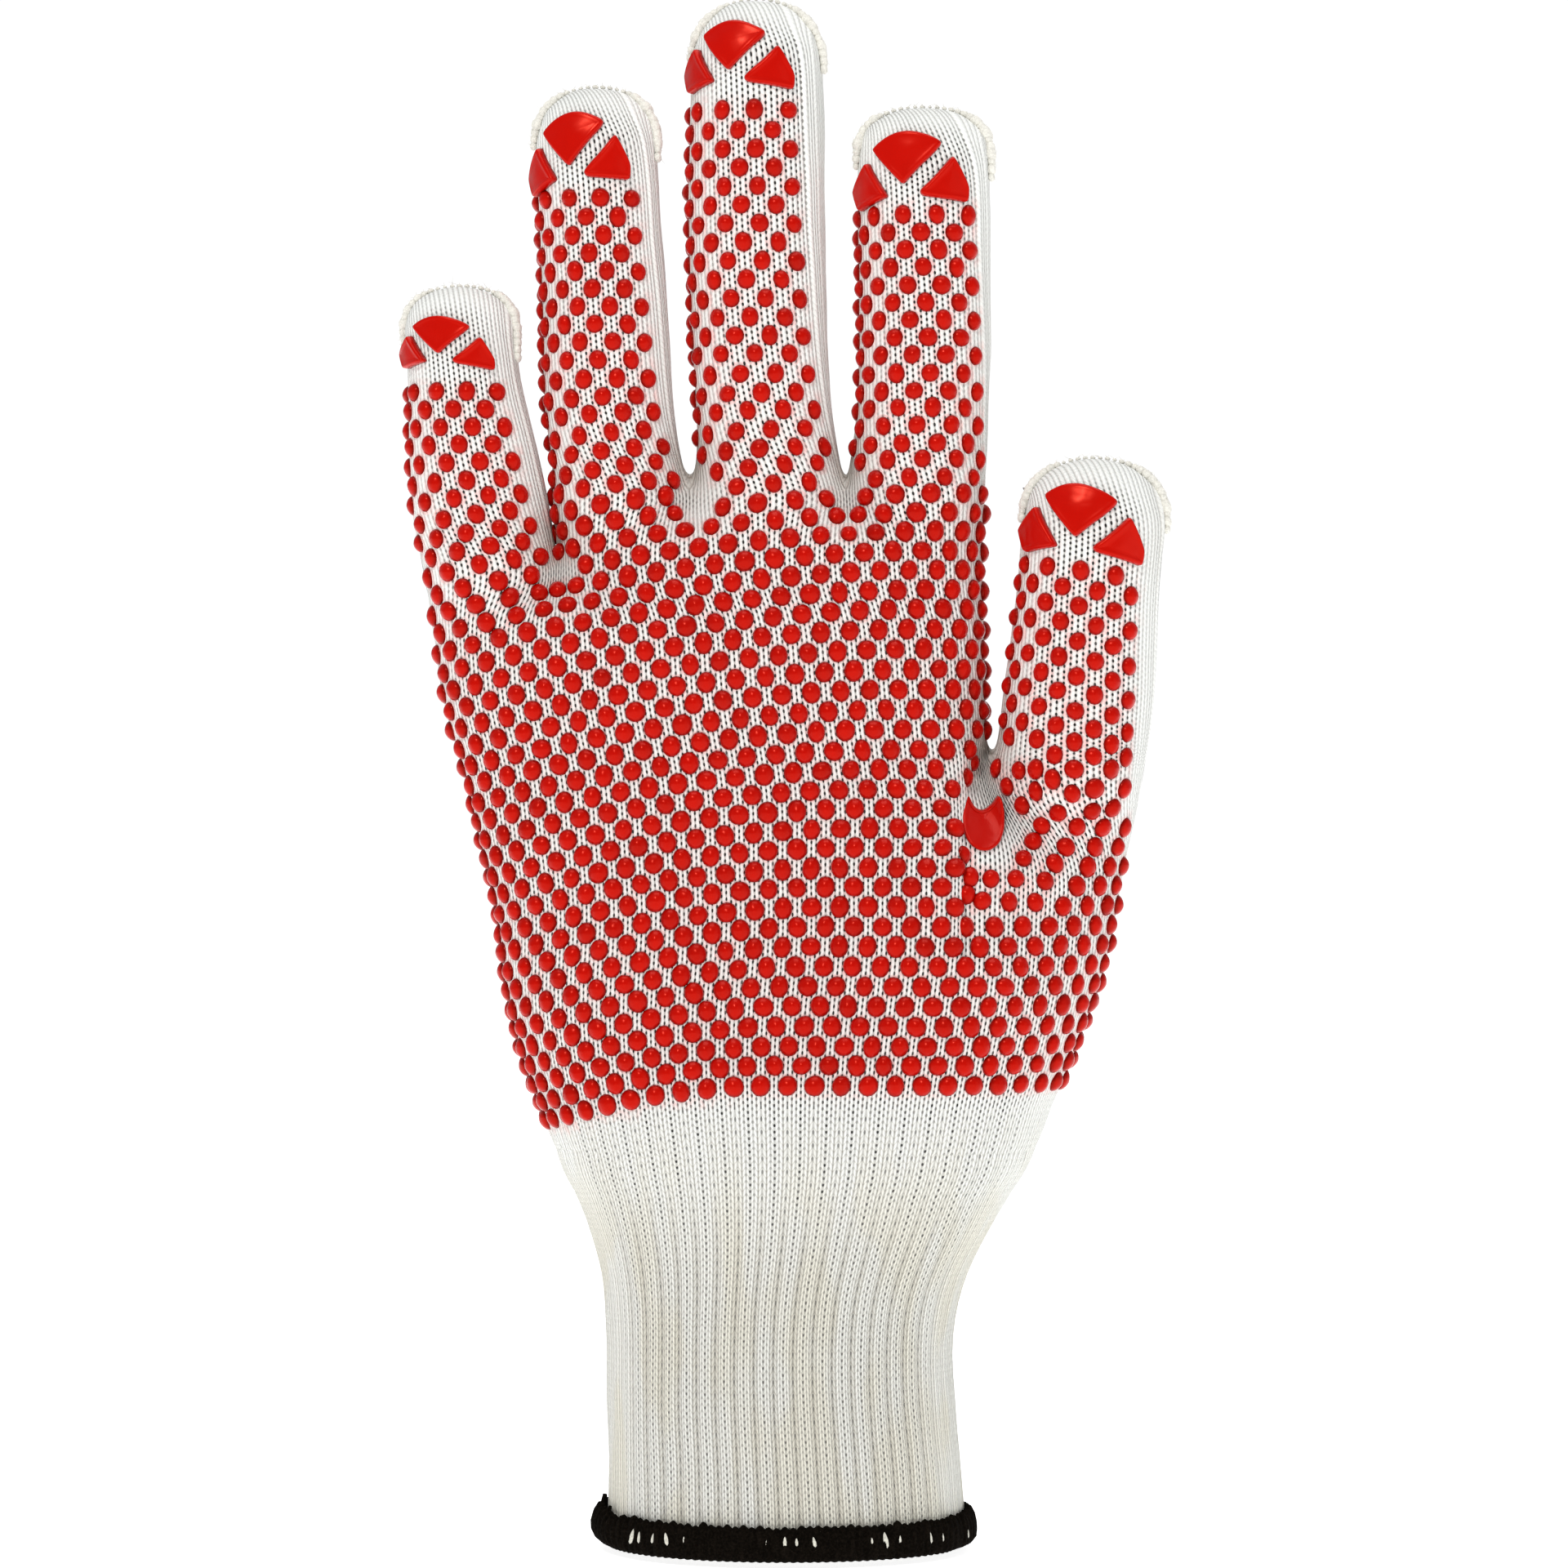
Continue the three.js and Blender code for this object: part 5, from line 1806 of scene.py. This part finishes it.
def keeps_dot(place, part, wale, course):
    """True where the print has a dot."""
    x, _, z = place
    if course < FIRST_DOT_COURSE:
        return False
    thumb_side = STRIP_WALES * HAND["strips"] - LIMB_BARE
    thumb_side -= THUMB_SIDE_BARE * smooth_step((z - DOTS_END) / THUMB_SIDE_CLIMB)
    if not LIMB_BARE <= wale <= thumb_side:
        return False
    name = PART_NAMES[part]
    if name in DIGITS:
        digit = DIGITS[name]
        strip = digit["first"] * STRIP_WALES
        sunk = course_droop(HAND["children"][1], place) if name == "thumb" else 0
        if z + sunk > digit["dots_top"]:
            return False
        if not strip + DIGIT_BARE < wale < strip + digit["last_wale"]:
            return False
    for bare_x, bare_z, across, up in zip(*BARE_PLACES.values()):
        if ((x - bare_x) / across) ** 2 + ((z - bare_z) / up) ** 2 < 1:
            return False
    return True


def crotch_dots(mesh):
    """Place, outward and up of each dot round the thumb crotch, read off the knit."""
    cast = depth_caster(mesh)
    for x, z in zip(CROTCH_DOTS["x"], CROTCH_DOTS["z"]):
        place, outward, *_ = cast(x, z)
        yield np.array(place), np.array(outward), np.array((0, 0, 1.0))


def add_dot(lot, place, outward, up, size, sizes, chance):
    """One printed dot: a blunt cone that is a little uneven."""
    outward = outward / np.linalg.norm(outward)
    up = up - outward * (up @ outward)
    up /= np.linalg.norm(up)
    side = np.cross(up, outward)
    scale = size * (1 + chance.normal(0, DOT_SPREAD, 3))
    turns = even_turns(DOT_SIDES)
    oval = DOT_SPREAD * np.sin(turns * 2 + chance.uniform(0, TURN))
    uneven = 1 + oval + chance.normal(0, DOT_ROUGHNESS, DOT_SIDES)
    lean = chance.normal(0, DOT_LEAN, 2)
    rows = []
    for share, rise in DOT_RINGS:
        ease = 1 + (uneven - 1) * min(share * 1.2, 1)
        across = (np.cos(turns) * share * ease + lean[0] * rise) * sizes.dot_width / 2 * scale[0]
        along = (np.sin(turns) * share * ease + lean[1] * rise) * sizes.dot_length / 2 * scale[1]
        out = np.full(DOT_SIDES, rise * sizes.dot_height * scale[2])
        rows.append(place + across[:, None] * side + along[:, None] * up + out[:, None] * outward)
    top = place + (side * lean[0] * sizes.dot_width + up * lean[1] * sizes.dot_length) / 2
    rows.append((top + outward * sizes.dot_height * scale[2])[None])
    crowns = [max(rise, 0) for _, rise in DOT_RINGS] + [1]
    crown = np.repeat(crowns, [DOT_SIDES] * len(DOT_RINGS) + [1])
    faces = ring_faces(len(DOT_RINGS), DOT_SIDES, cap_start=True, peak=True)
    lot.add(np.concatenate(rows), faces, crown=crown, tone=abs(chance.normal(0, DOT_TONE)))


def tip_normal(part, angle, drop):
    """Outward direction of a fingertip's smooth surface."""
    step = 0.02

    def at(turn, depth):
        return tube_points(tube_at(part, part["tip"] - depth), np.array(turn))

    across = at(angle + step, drop) - at(angle - step, drop)
    up = at(angle, drop - step * MM) - at(angle, drop + step * MM)
    normal = np.cross(across, up)
    return normal / np.linalg.norm(normal)


def tip_point(part, angle, drop, lift):
    """A point on a fingertip, lifted off its smooth surface."""
    point = tube_points(tube_at(part, part["tip"] - drop), np.array(angle))
    return point + tip_normal(part, angle, drop) * lift


def smoothed(points, rounds):
    """A closed outline with its corners eased a little in each round."""
    for _ in range(rounds):
        points = (np.roll(points, 1, axis=0) + 2 * points + np.roll(points, -1, axis=0)) / 4
    return points


def eased_outline(corners, bow=0.0):
    """Evenly spaced points round a shape with rounded corners. The first side bows outward."""
    ticks = np.linspace(0, 1, PAD_SIDE_STEPS, endpoint=False)[:, None]
    afters = np.roll(corners, -1, axis=0)
    sides = [corner * (1 - ticks) + after * ticks for corner, after in zip(corners, afters)]
    sides[0] = sides[0] - np.array((0, bow)) * 4 * ticks * (1 - ticks)
    points = np.concatenate(sides)
    loop = np.concatenate((points, points[:1]))
    lengths = lengths_along(loop)
    places = np.arange(PAD_OUTLINE_POINTS) / PAD_OUTLINE_POINTS * lengths[-1]
    spacing = lengths[-1] / PAD_OUTLINE_POINTS
    return smoothed(points_along(loop, lengths, places), int(2 * (PAD_CORNER_EASE / spacing) ** 2))


def inset_outline(points, inset, share):
    """An outline moved inward by a distance, then drawn in toward its middle."""
    along = np.roll(points, -1, axis=0) - np.roll(points, 1, axis=0)
    inward = np.stack((-along[:, 1], along[:, 0]), axis=1) / np.linalg.norm(along, axis=1)[:, None]
    middle = points.mean(axis=0)
    if ((middle - points) * inward).sum() < 0:
        inward = -inward
    moved = smoothed(points + inward * inset, int((1 - share) * PAD_MIDDLE_ROUNDS))
    return middle + (moved - middle) * share


def add_pad(lot, outline, thickness, surface_point):
    """One pad: a plate with a rounded outline and a raised rim that follows the surface."""
    points = [
        surface_point(*corner, rise * thickness)
        for inset, share, rise in PAD_RINGS
        for corner in inset_outline(outline, inset, share)
    ]
    points.append(surface_point(*outline.mean(axis=0), PAD_RINGS[-1][2] * thickness))
    size = len(outline)
    crowns = [max(rise, 0) for *_, rise in PAD_RINGS] + [PAD_MIDDLE_CROWN]
    crown = np.repeat(crowns, [size] * len(PAD_RINGS) + [1])
    faces = ring_faces(len(PAD_RINGS), size, cap_start=True, peak=True)
    lot.add(points, faces, crown=crown, tone=0)


def depth_caster(mesh):
    """Reads the knit's outer place and direction along the palm's depth."""
    form = bmesh.new()
    form.from_mesh(mesh)
    tree = BVHTree.FromBMesh(form)
    form.free()
    return lambda x, z: tree.ray_cast(Vector((x, -1, z)), Vector((0, 1, 0)))


def surface_reader(mesh):
    """Reads the pad's even bed on the knit along the palm's depth."""
    cast = depth_caster(mesh)

    def read_at(x, z, lift):
        hits = [cast(x + across, z + up)[0] for across in PAD_BED_ACROSS for up in PAD_BED_UP]
        return np.array((x, np.mean([hit.y for hit in hits]) - lift - PAD_BED_LIFT, z))

    return read_at


def ridge_stops(count):
    """Angles and drops along the closing ridge, from its left foot over the top to its right."""
    stops = []
    for place in np.linspace(-1, 1, count):
        side = int(place > 0)
        drop = RIDGE_DROPS[side] * abs(place) ** RIDGE_BOW + RIDGE_TOP
        stops.append((math.radians(RIDGE_ANGLES[side]), drop))
    return stops


def even_path(points, spacing):
    """Points an even distance apart along a path, with the directions there."""
    points = np.array(points)
    lengths = lengths_along(points)
    places = np.linspace(0, lengths[-1], max(int(round(lengths[-1] / spacing)), 2) + 1)
    even = points_along(points, lengths, places)
    along = np.gradient(even, axis=0)
    return even, along / np.linalg.norm(along, axis=1)[:, None]


def add_lump(lot, centre, axes, radii):
    """A small rounded roll of yarn along its first axis."""
    rows = []
    turns = even_turns(LUMP_SIDES)[:, None]
    girth = np.cos(turns) * axes[1] * radii[1] + np.sin(turns) * axes[2] * radii[2]
    for i in range(1, LUMP_RINGS + 1):
        pole = math.pi * i / (LUMP_RINGS + 1)
        ring = centre + axes[0] * math.cos(pole) * radii[0]
        rows.append(ring + girth * math.sin(pole) ** LUMP_BLUNT)
    faces = ring_faces(LUMP_RINGS, LUMP_SIDES, cap_start=True, cap_end=True)
    lot.add(np.concatenate(rows), faces)


def add_strand(lot, points, radius, sides):
    """A thin fibre along points."""
    points = np.array(points)
    along = np.gradient(points, axis=0)
    rows = []
    turns = even_turns(sides)[:, None]
    for i, (point, direction) in enumerate(zip(points, along)):
        direction = direction / np.linalg.norm(direction)
        side = np.cross(direction, (0.3, 0.9, 0.2))
        side /= np.linalg.norm(side)
        out = np.cross(direction, side)
        taper = radius * (1 - STRAND_TAPER * i / (len(points) - 1))
        rows.append(point + (np.cos(turns) * side + np.sin(turns) * out) * taper)
    faces = ring_faces(len(points), sides, cap_start=True, cap_end=True)
    lot.add(np.concatenate(rows), faces)


def add_fibre(lot, start, lean, direction, chance):
    """A short loose fibre that bends off a roll of yarn."""
    length = chance.uniform(*FIBRE_LENGTHS)
    bend = np.cross(lean, direction) * chance.normal(0, FIBRE_BEND)
    strand = [start + lean * t * length + bend * t * t * length for t in np.linspace(0, 1, 4)]
    add_strand(lot, strand, FIBRE_RADIUS, sides=3)


def add_ridge(lot, part, sizes, chance):
    """A closing ridge of overlapping rolls of yarn with a few loose fibres."""
    lift = sizes.ridge_width * RIDGE_LIFT
    path = [tip_point(part, angle, drop, lift) for angle, drop in ridge_stops(RIDGE_STEPS)]
    places, along = even_path(path, RIDGE_LUMP)
    heart = np.array((np.mean(places[:, 0]), np.mean(places[:, 1]), part["tip"] - part["dome"]))
    for i, (place, direction) in enumerate(zip(places, along)):
        out = place - heart
        out -= direction * (out @ direction)
        out /= np.linalg.norm(out)
        side = np.cross(direction, out)
        tilt = math.radians(RIDGE_TILT + chance.normal(0, RIDGE_TILT_SPREAD))
        first = direction * math.cos(tilt) + side * math.sin(tilt)
        second = side * math.cos(tilt) - direction * math.sin(tilt)
        from_foot = min(min(i, len(places) - 1 - i) / RIDGE_FOOT_LUMPS, 1)
        from_top = smooth_step((part["tip"] - place[2]) / RIDGE_TOP_DROP)
        size = sizes.ridge_width / 2 * (RIDGE_FOOT_SIZE + (1 - RIDGE_FOOT_SIZE) * from_foot)
        size *= 1 + chance.normal(0, RIDGE_SIZE_SPREAD)
        size *= RIDGE_TOP_SIZE + (1 - RIDGE_TOP_SIZE) * from_top
        centre = place + side * chance.normal(0, 1) * RIDGE_SIDE_SPREAD
        add_lump(lot, centre, (second, first, out), size * LUMP_SHAPE)
        reach, height = FIBRE_FOOT
        sideward, onward, outward = FIBRE_LEAN
        for _ in range(FIBRES):
            start = place + side * chance.uniform(-reach, reach) * size + out * size * height
            lean = side * chance.normal(0, sideward) + direction * chance.normal(0, onward)
            add_fibre(lot, start, lean + out * outward, direction, chance)


def edge_path(steps):
    """The knit's end line round the cuff's mouth, with the outward directions."""
    loop = plain_loop(HAND, MOUTH, 8)
    front, back = loop["front"], loop["back"][::-1]
    ring = np.array([*front, loop["right"], *back, loop["left"], front[0]])
    lengths = lengths_along(ring)
    points = points_along(ring, lengths, np.arange(steps) / steps * lengths[-1])
    along = np.roll(points, -1, axis=0) - np.roll(points, 1, axis=0)
    outward = np.stack((along[:, 1], -along[:, 0], np.zeros(steps)), axis=1)
    return points, outward / np.linalg.norm(outward, axis=1)[:, None]


def edge_section(out, bump, full, tall, sizes):
    """One section of the edge: distances out from the knit's end line and heights."""
    facing = abs(out[0])
    limb = smooth_step((facing - EDGE_LIMB[0]) / EDGE_LIMB[1])
    corner = EDGE_CORNER_RISES[int(out[0] > 0)]
    corner *= smooth_step((facing - EDGE_CORNER[0]) / EDGE_CORNER[1])
    for away, rise, bulge in EDGE_PROFILE:
        if out[0] >= 0:
            bulge = min(bulge * EDGE_RIGHT_BULGE, 0) - rise**4 * EDGE_RIGHT_LEAN
        away += bulge * limb
        proud = (bump - 0.5) * EDGE_PROUD * full
        proud *= 1 if away > EDGE_OUTSIDE else -1 if away < EDGE_INSIDE else 0
        climb = rise * sizes.edge_height * (1 + (tall + corner - 1) * rise)
        climb += (bump - 0.6) * EDGE_TOP_SCALLOP * (rise > EDGE_TOP)
        climb -= bump * EDGE_FOOT_SCALLOP * (rise == 0)
        yield away * sizes.edge_thickness + proud, climb


def add_edge(lot, sizes, chance):
    """The overlocked edge: a thick roll of upright stitches with scalloped borders."""
    steps = EDGE_STITCHES * EDGE_STITCH_STEPS
    points, outward = edge_path(steps)
    tall = 1 + chance.normal(0, EDGE_HEIGHT_SPREAD, EDGE_STITCHES)
    full = 1 + chance.normal(0, EDGE_FULLNESS_SPREAD, EDGE_STITCHES)
    rows = []
    for i, (point, out) in enumerate(zip(points, outward)):
        stitch, step = divmod(i, EDGE_STITCH_STEPS)
        bump = math.sin(math.pi * (step + 0.5) / EDGE_STITCH_STEPS)
        section = edge_section(out, bump, full[stitch], tall[stitch], sizes)
        rows.append([point + out * away + np.array((0, 0, z - point[2])) for away, z in section])
    faces = ring_faces(steps, len(EDGE_PROFILE), closed=True)
    lot.add(np.concatenate(rows), faces)


def add_tuft(lot, foot, height, width, chance):
    """A pointed tuft of the edge's yarn."""
    rise = np.array((0, 0, height - foot[2]))
    lean = np.array((chance.normal(0, 0.3), -0.3, 0)) * MM
    tuft = [foot + rise * t + lean * t * t for t in np.linspace(0, 1, 5)]
    add_strand(lot, tuft, width / 2, sides=7)


def add_fleck(lot, place, outward, width, length, chance):
    """A slit of pale knit that shows between two stitches of the edge."""
    side = np.cross(outward, (0, 0, 1))
    turns = even_turns(FLECK_SIDES)
    lean = chance.normal(0, FLECK_LEAN)
    rows = []
    for share, rise in FLECK_RINGS:
        across = np.cos(turns) * width / 2 * share * (1 - FLECK_TAPER * np.sin(turns))
        up = np.sin(turns) * length / 2 * share
        upright = (across + up * lean)[:, None] * side + up[:, None] * np.array((0, 0, 1))
        rows.append(place + upright + outward * (rise * FLECK_HEIGHT))
    faces = ring_faces(len(FLECK_RINGS), FLECK_SIDES, cap_start=True, cap_end=True)
    lot.add(np.concatenate(rows), faces)


# Stage


def add_floor():
    """A plain pale floor that glows a little, so the glove's surroundings stay even."""
    reach = FLOOR_REACH
    corners = [(-reach, -reach, 0), (reach, -reach, 0), (reach, reach, 0), (-reach, reach, 0)]
    mesh = bpy.data.meshes.new("floor")
    mesh.from_pydata(corners, [], [(0, 1, 2, 3)])
    floor = bpy.data.objects.new("floor", mesh)
    floor.location.z = FLOOR_LEVEL
    bpy.context.collection.objects.link(floor)
    paper = bpy.data.materials.new("pale_paper")
    paper.use_nodes = True
    shader = paper.node_tree.nodes["Principled BSDF"]
    shader.inputs["Base Color"].default_value = FLOOR_COLOUR
    shader.inputs["Roughness"].default_value = 1
    shader.inputs["Specular IOR Level"].default_value = 0
    shader.inputs["Emission Color"].default_value = (1, 1, 1, 1)
    shader.inputs["Emission Strength"].default_value = FLOOR_GLOW
    mesh.materials.append(paper)
    floor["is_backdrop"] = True


def light_room(scene):
    """Soft even light from all round, with a brighter plain background."""
    world = bpy.data.worlds.new("studio")
    world.use_nodes = True
    background = world.node_tree.nodes["Background"]
    background.inputs["Color"].default_value = (1, 1, 1, 1)
    seen = world.node_tree.nodes.new("ShaderNodeLightPath")
    strength = Wire(world.node_tree, seen.outputs["Is Camera Ray"]) * ROOM_BEHIND + ROOM_LIGHT
    connect(world.node_tree, strength, background.inputs["Strength"])
    scene.world = world


def add_lamp(name, place, size, power, tint):
    """A soft square lamp aimed at the middle of the glove."""
    data = bpy.data.lights.new(name, "AREA")
    data.size = size
    data.energy = power
    data.color = tint
    lamp = bpy.data.objects.new(name, data)
    lamp.location = place
    lamp.rotation_euler = (AIM - Vector(place)).to_track_quat("-Z", "Y").to_euler()
    bpy.context.collection.objects.link(lamp)


# Operators


class GLOVE_OT_knit(bpy.types.Operator):
    """Makes the seamless knit with its ribbed cuff"""

    bl_idname = "glove.knit"
    bl_label = "Knit"

    def execute(self, context):
        sizes, colours = context.scene.glove_sizes, context.scene.glove_colours
        mesh = knit_mesh(sizes)
        add_piece("knit_glove", mesh, knit_finish(colours, sizes), "white_knit", "knit_shell")
        return {"FINISHED"}


class GLOVE_OT_dots(bpy.types.Operator):
    """Prints the grip dots on the palm side of the knit"""

    bl_idname = "glove.dots"
    bl_label = "Grip dots"

    def execute(self, context):
        sizes, colours = context.scene.glove_sizes, context.scene.glove_colours
        knit = bpy.data.objects["knit_glove"].data
        finish = grip_finish("dot_rubber", colours, 2.2 * MM)
        chance = np.random.default_rng(sizes.seed)
        lots = {"palm": Lot()}
        centres = []
        for place, outward, up in crotch_dots(knit):
            add_dot(lots["palm"], place, outward, up, CROTCH_DOT_SIZE, sizes, chance)
            centres.append(place)
        beside_crotch = np.array(centres)
        for place, outward, up, part, wale, course in zip(*lattice_dots(knit, sizes)):
            apart = np.linalg.norm(beside_crotch - place, axis=1)
            if keeps_dot(place, part, wale, course) and (apart > CROTCH_DOTS["reach"]).all():
                name = PART_NAMES[part] if PART_NAMES[part] in DIGITS else "palm"
                size = 1 if name == "palm" else DIGIT_DOT_SIZE
                add_dot(lots.setdefault(name, Lot()), place, outward, up, size, sizes, chance)
                centres.append(place)
        if not centres:
            raise RuntimeError("no dot falls on the knit")
        for name, lot in sorted(lots.items()):
            add_piece(f"dots_{name}", lot.mesh(), finish, "red_grip")
        tree = KDTree(len(centres))
        for index, centre in enumerate(centres):
            tree.insert(centre, index)
        tree.balance()
        away = np.array([tree.find(vertex.co)[2] for vertex in knit.vertices])
        near = smooth_step((HALO_START - away) / HALO_EASE)
        knit.attributes["dotted"].data.foreach_set("value", near.astype(np.float32))
        return {"FINISHED"}


class GLOVE_OT_pads(bpy.types.Operator):
    """Moulds the red pads on the fingertips and below the thumb crotch"""

    bl_idname = "glove.pads"
    bl_label = "Pads"

    def execute(self, context):
        sizes, colours = context.scene.glove_sizes, context.scene.glove_colours
        finish = grip_finish("pad_rubber", colours, 3 * MM)
        for name, part in DIGITS.items():
            girth = tube_at(part, part["tip"] - part["dome"])["a"]

            def on_tip(across, level, lift, part=part, girth=girth):
                axis, moved, drawn, slope = part["pads"]
                drop = moved + drawn * level + slope * across
                return tip_point(part, math.radians(axis) + across / girth, drop, lift)

            for place, corners in PAD_CORNERS.items():
                shape = np.stack((np.radians(corners["angle"]) * girth, corners["drop"]), axis=1)
                lot = Lot()
                add_pad(lot, eased_outline(shape, PAD_BOW[place]), sizes.pad_thickness, on_tip)
                node = f"pad_{name}_{place}"
                add_piece(f"grip_{name}_{place}", lot.mesh(), finish, "red_grip", node)
        lot = Lot()
        outline = eased_outline(np.stack((CROTCH_PAD["x"], CROTCH_PAD["z"]), axis=1))
        reader = surface_reader(bpy.data.objects["knit_glove"].data)
        add_pad(lot, outline, sizes.pad_thickness, reader)
        add_piece("grip_thumb_crotch", lot.mesh(), finish, "red_grip", "thumb_crotch_pad")
        return {"FINISHED"}


class GLOVE_OT_ridges(bpy.types.Operator):
    """Makes the cream ridges that close the fingertips"""

    bl_idname = "glove.ridges"
    bl_label = "Fingertip ridges"

    def execute(self, context):
        sizes, colours = context.scene.glove_sizes, context.scene.glove_colours
        shade = tuple(0.75 * value for value in colours.ridge)
        finish = yarn_finish("ridge_yarn", shade, colours.ridge, 0.3 * MM)
        chance = np.random.default_rng(sizes.seed + 1)
        for name, part in DIGITS.items():
            lot = Lot()
            add_ridge(lot, part, sizes, chance)
            add_piece(f"ridge_{name}", lot.mesh(), finish, "cream_seam", f"fingertip_seam_{name}")
        return {"FINISHED"}


class GLOVE_OT_edge(bpy.types.Operator):
    """Makes the black overlocked edge and the pale flecks in it"""

    bl_idname = "glove.edge"
    bl_label = "Overlocked edge"

    def execute(self, context):
        sizes, colours = context.scene.glove_sizes, context.scene.glove_colours
        chance = np.random.default_rng(sizes.seed + 2)
        lot = Lot()
        add_edge(lot, sizes, chance)
        points, outward = edge_path(EDGE_READ_STEPS)

        def nearest(x):
            return np.where(points[:, 1] < 0, np.abs(points[:, 0] - x), 1).argmin()

        for x, z, width in zip(*EDGE_TUFTS.values()):
            near = nearest(x)
            foot = points[near] + outward[near] * sizes.edge_thickness * TUFT_OUT
            foot[2] = sizes.edge_height * TUFT_FOOT
            add_tuft(lot, foot, z, width, chance)
        finish = yarn_finish("edge_yarn", colours.edge, colours.edge_worn, 0.4 * MM, 0, 0.03)
        add_piece("overlocked_edge", lot.mesh(), finish, "black_edge", "cuff_edge")
        flecks = Lot()
        for x, width, length in zip(*EDGE_FLECKS.values()):
            near = nearest(x)
            place = points[near] + outward[near] * sizes.edge_thickness * FLECK_OUT
            place[2] = FLECK_LOW - FLECK_RISE * outward[near][1]
            add_fleck(flecks, place, outward[near], width, length, chance)
        shade = tuple(0.6 * value for value in colours.cuff)
        pale = yarn_finish("fleck_yarn", shade, colours.cuff, 0.3 * MM)
        add_piece("edge_flecks", flecks.mesh(), pale, "white_knit")
        return {"FINISHED"}


class GLOVE_OT_stage(bpy.types.Operator):
    """Sets the floor, the soft light and the camera"""

    bl_idname = "glove.stage"
    bl_label = "Stage"

    def execute(self, context):
        scene = context.scene
        scene.view_settings.view_transform = "Standard"
        add_floor()
        light_room(scene)
        for lamp in LAMPS:
            add_lamp(*lamp)
        camera = bpy.data.objects.new("camera", bpy.data.cameras.new("camera"))
        camera.data.sensor_width = CAMERA_SENSOR
        camera.data.lens = CAMERA_LENS
        camera.location = CAMERA_PLACE
        camera.rotation_euler = (math.pi / 2, 0, 0)
        bpy.context.collection.objects.link(camera)
        scene.camera = camera
        return {"FINISHED"}


class GLOVE_PT_panel(bpy.types.Panel):
    """The glove's sizes, colours and steps in the sidebar"""

    bl_idname = "GLOVE_PT_panel"
    bl_label = "Glove"
    bl_space_type = "VIEW_3D"
    bl_region_type = "UI"
    bl_category = "Glove"

    def draw(self, context):
        for group in (context.scene.glove_sizes, context.scene.glove_colours):
            box = self.layout.box()
            for name in group.__annotations__:
                box.prop(group, name)
        for step in STEPS:
            self.layout.operator(step.bl_idname)


STEPS = (
    GLOVE_OT_knit,
    GLOVE_OT_dots,
    GLOVE_OT_pads,
    GLOVE_OT_ridges,
    GLOVE_OT_edge,
    GLOVE_OT_stage,
)
CLASSES = (GloveSizes, GloveColours, *STEPS, GLOVE_PT_panel)


def register():
    for item in CLASSES:
        bpy.utils.register_class(item)
    bpy.types.Scene.glove_sizes = bpy.props.PointerProperty(type=GloveSizes)
    bpy.types.Scene.glove_colours = bpy.props.PointerProperty(type=GloveColours)


def unregister():
    del bpy.types.Scene.glove_colours
    del bpy.types.Scene.glove_sizes
    for item in reversed(CLASSES):
        bpy.utils.unregister_class(item)


def main():
    """Builds the glove step by step."""
    register()
    bpy.ops.glove.knit()
    bpy.ops.glove.dots()
    bpy.ops.glove.pads()
    bpy.ops.glove.ridges()
    bpy.ops.glove.edge()
    bpy.ops.glove.stage()
    boxes = {"cad": CAD_BOX, "visual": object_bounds()}
    {name: [list(corner) for corner in box] for name, box in boxes.items()}


if __name__ == "__main__":
    main()
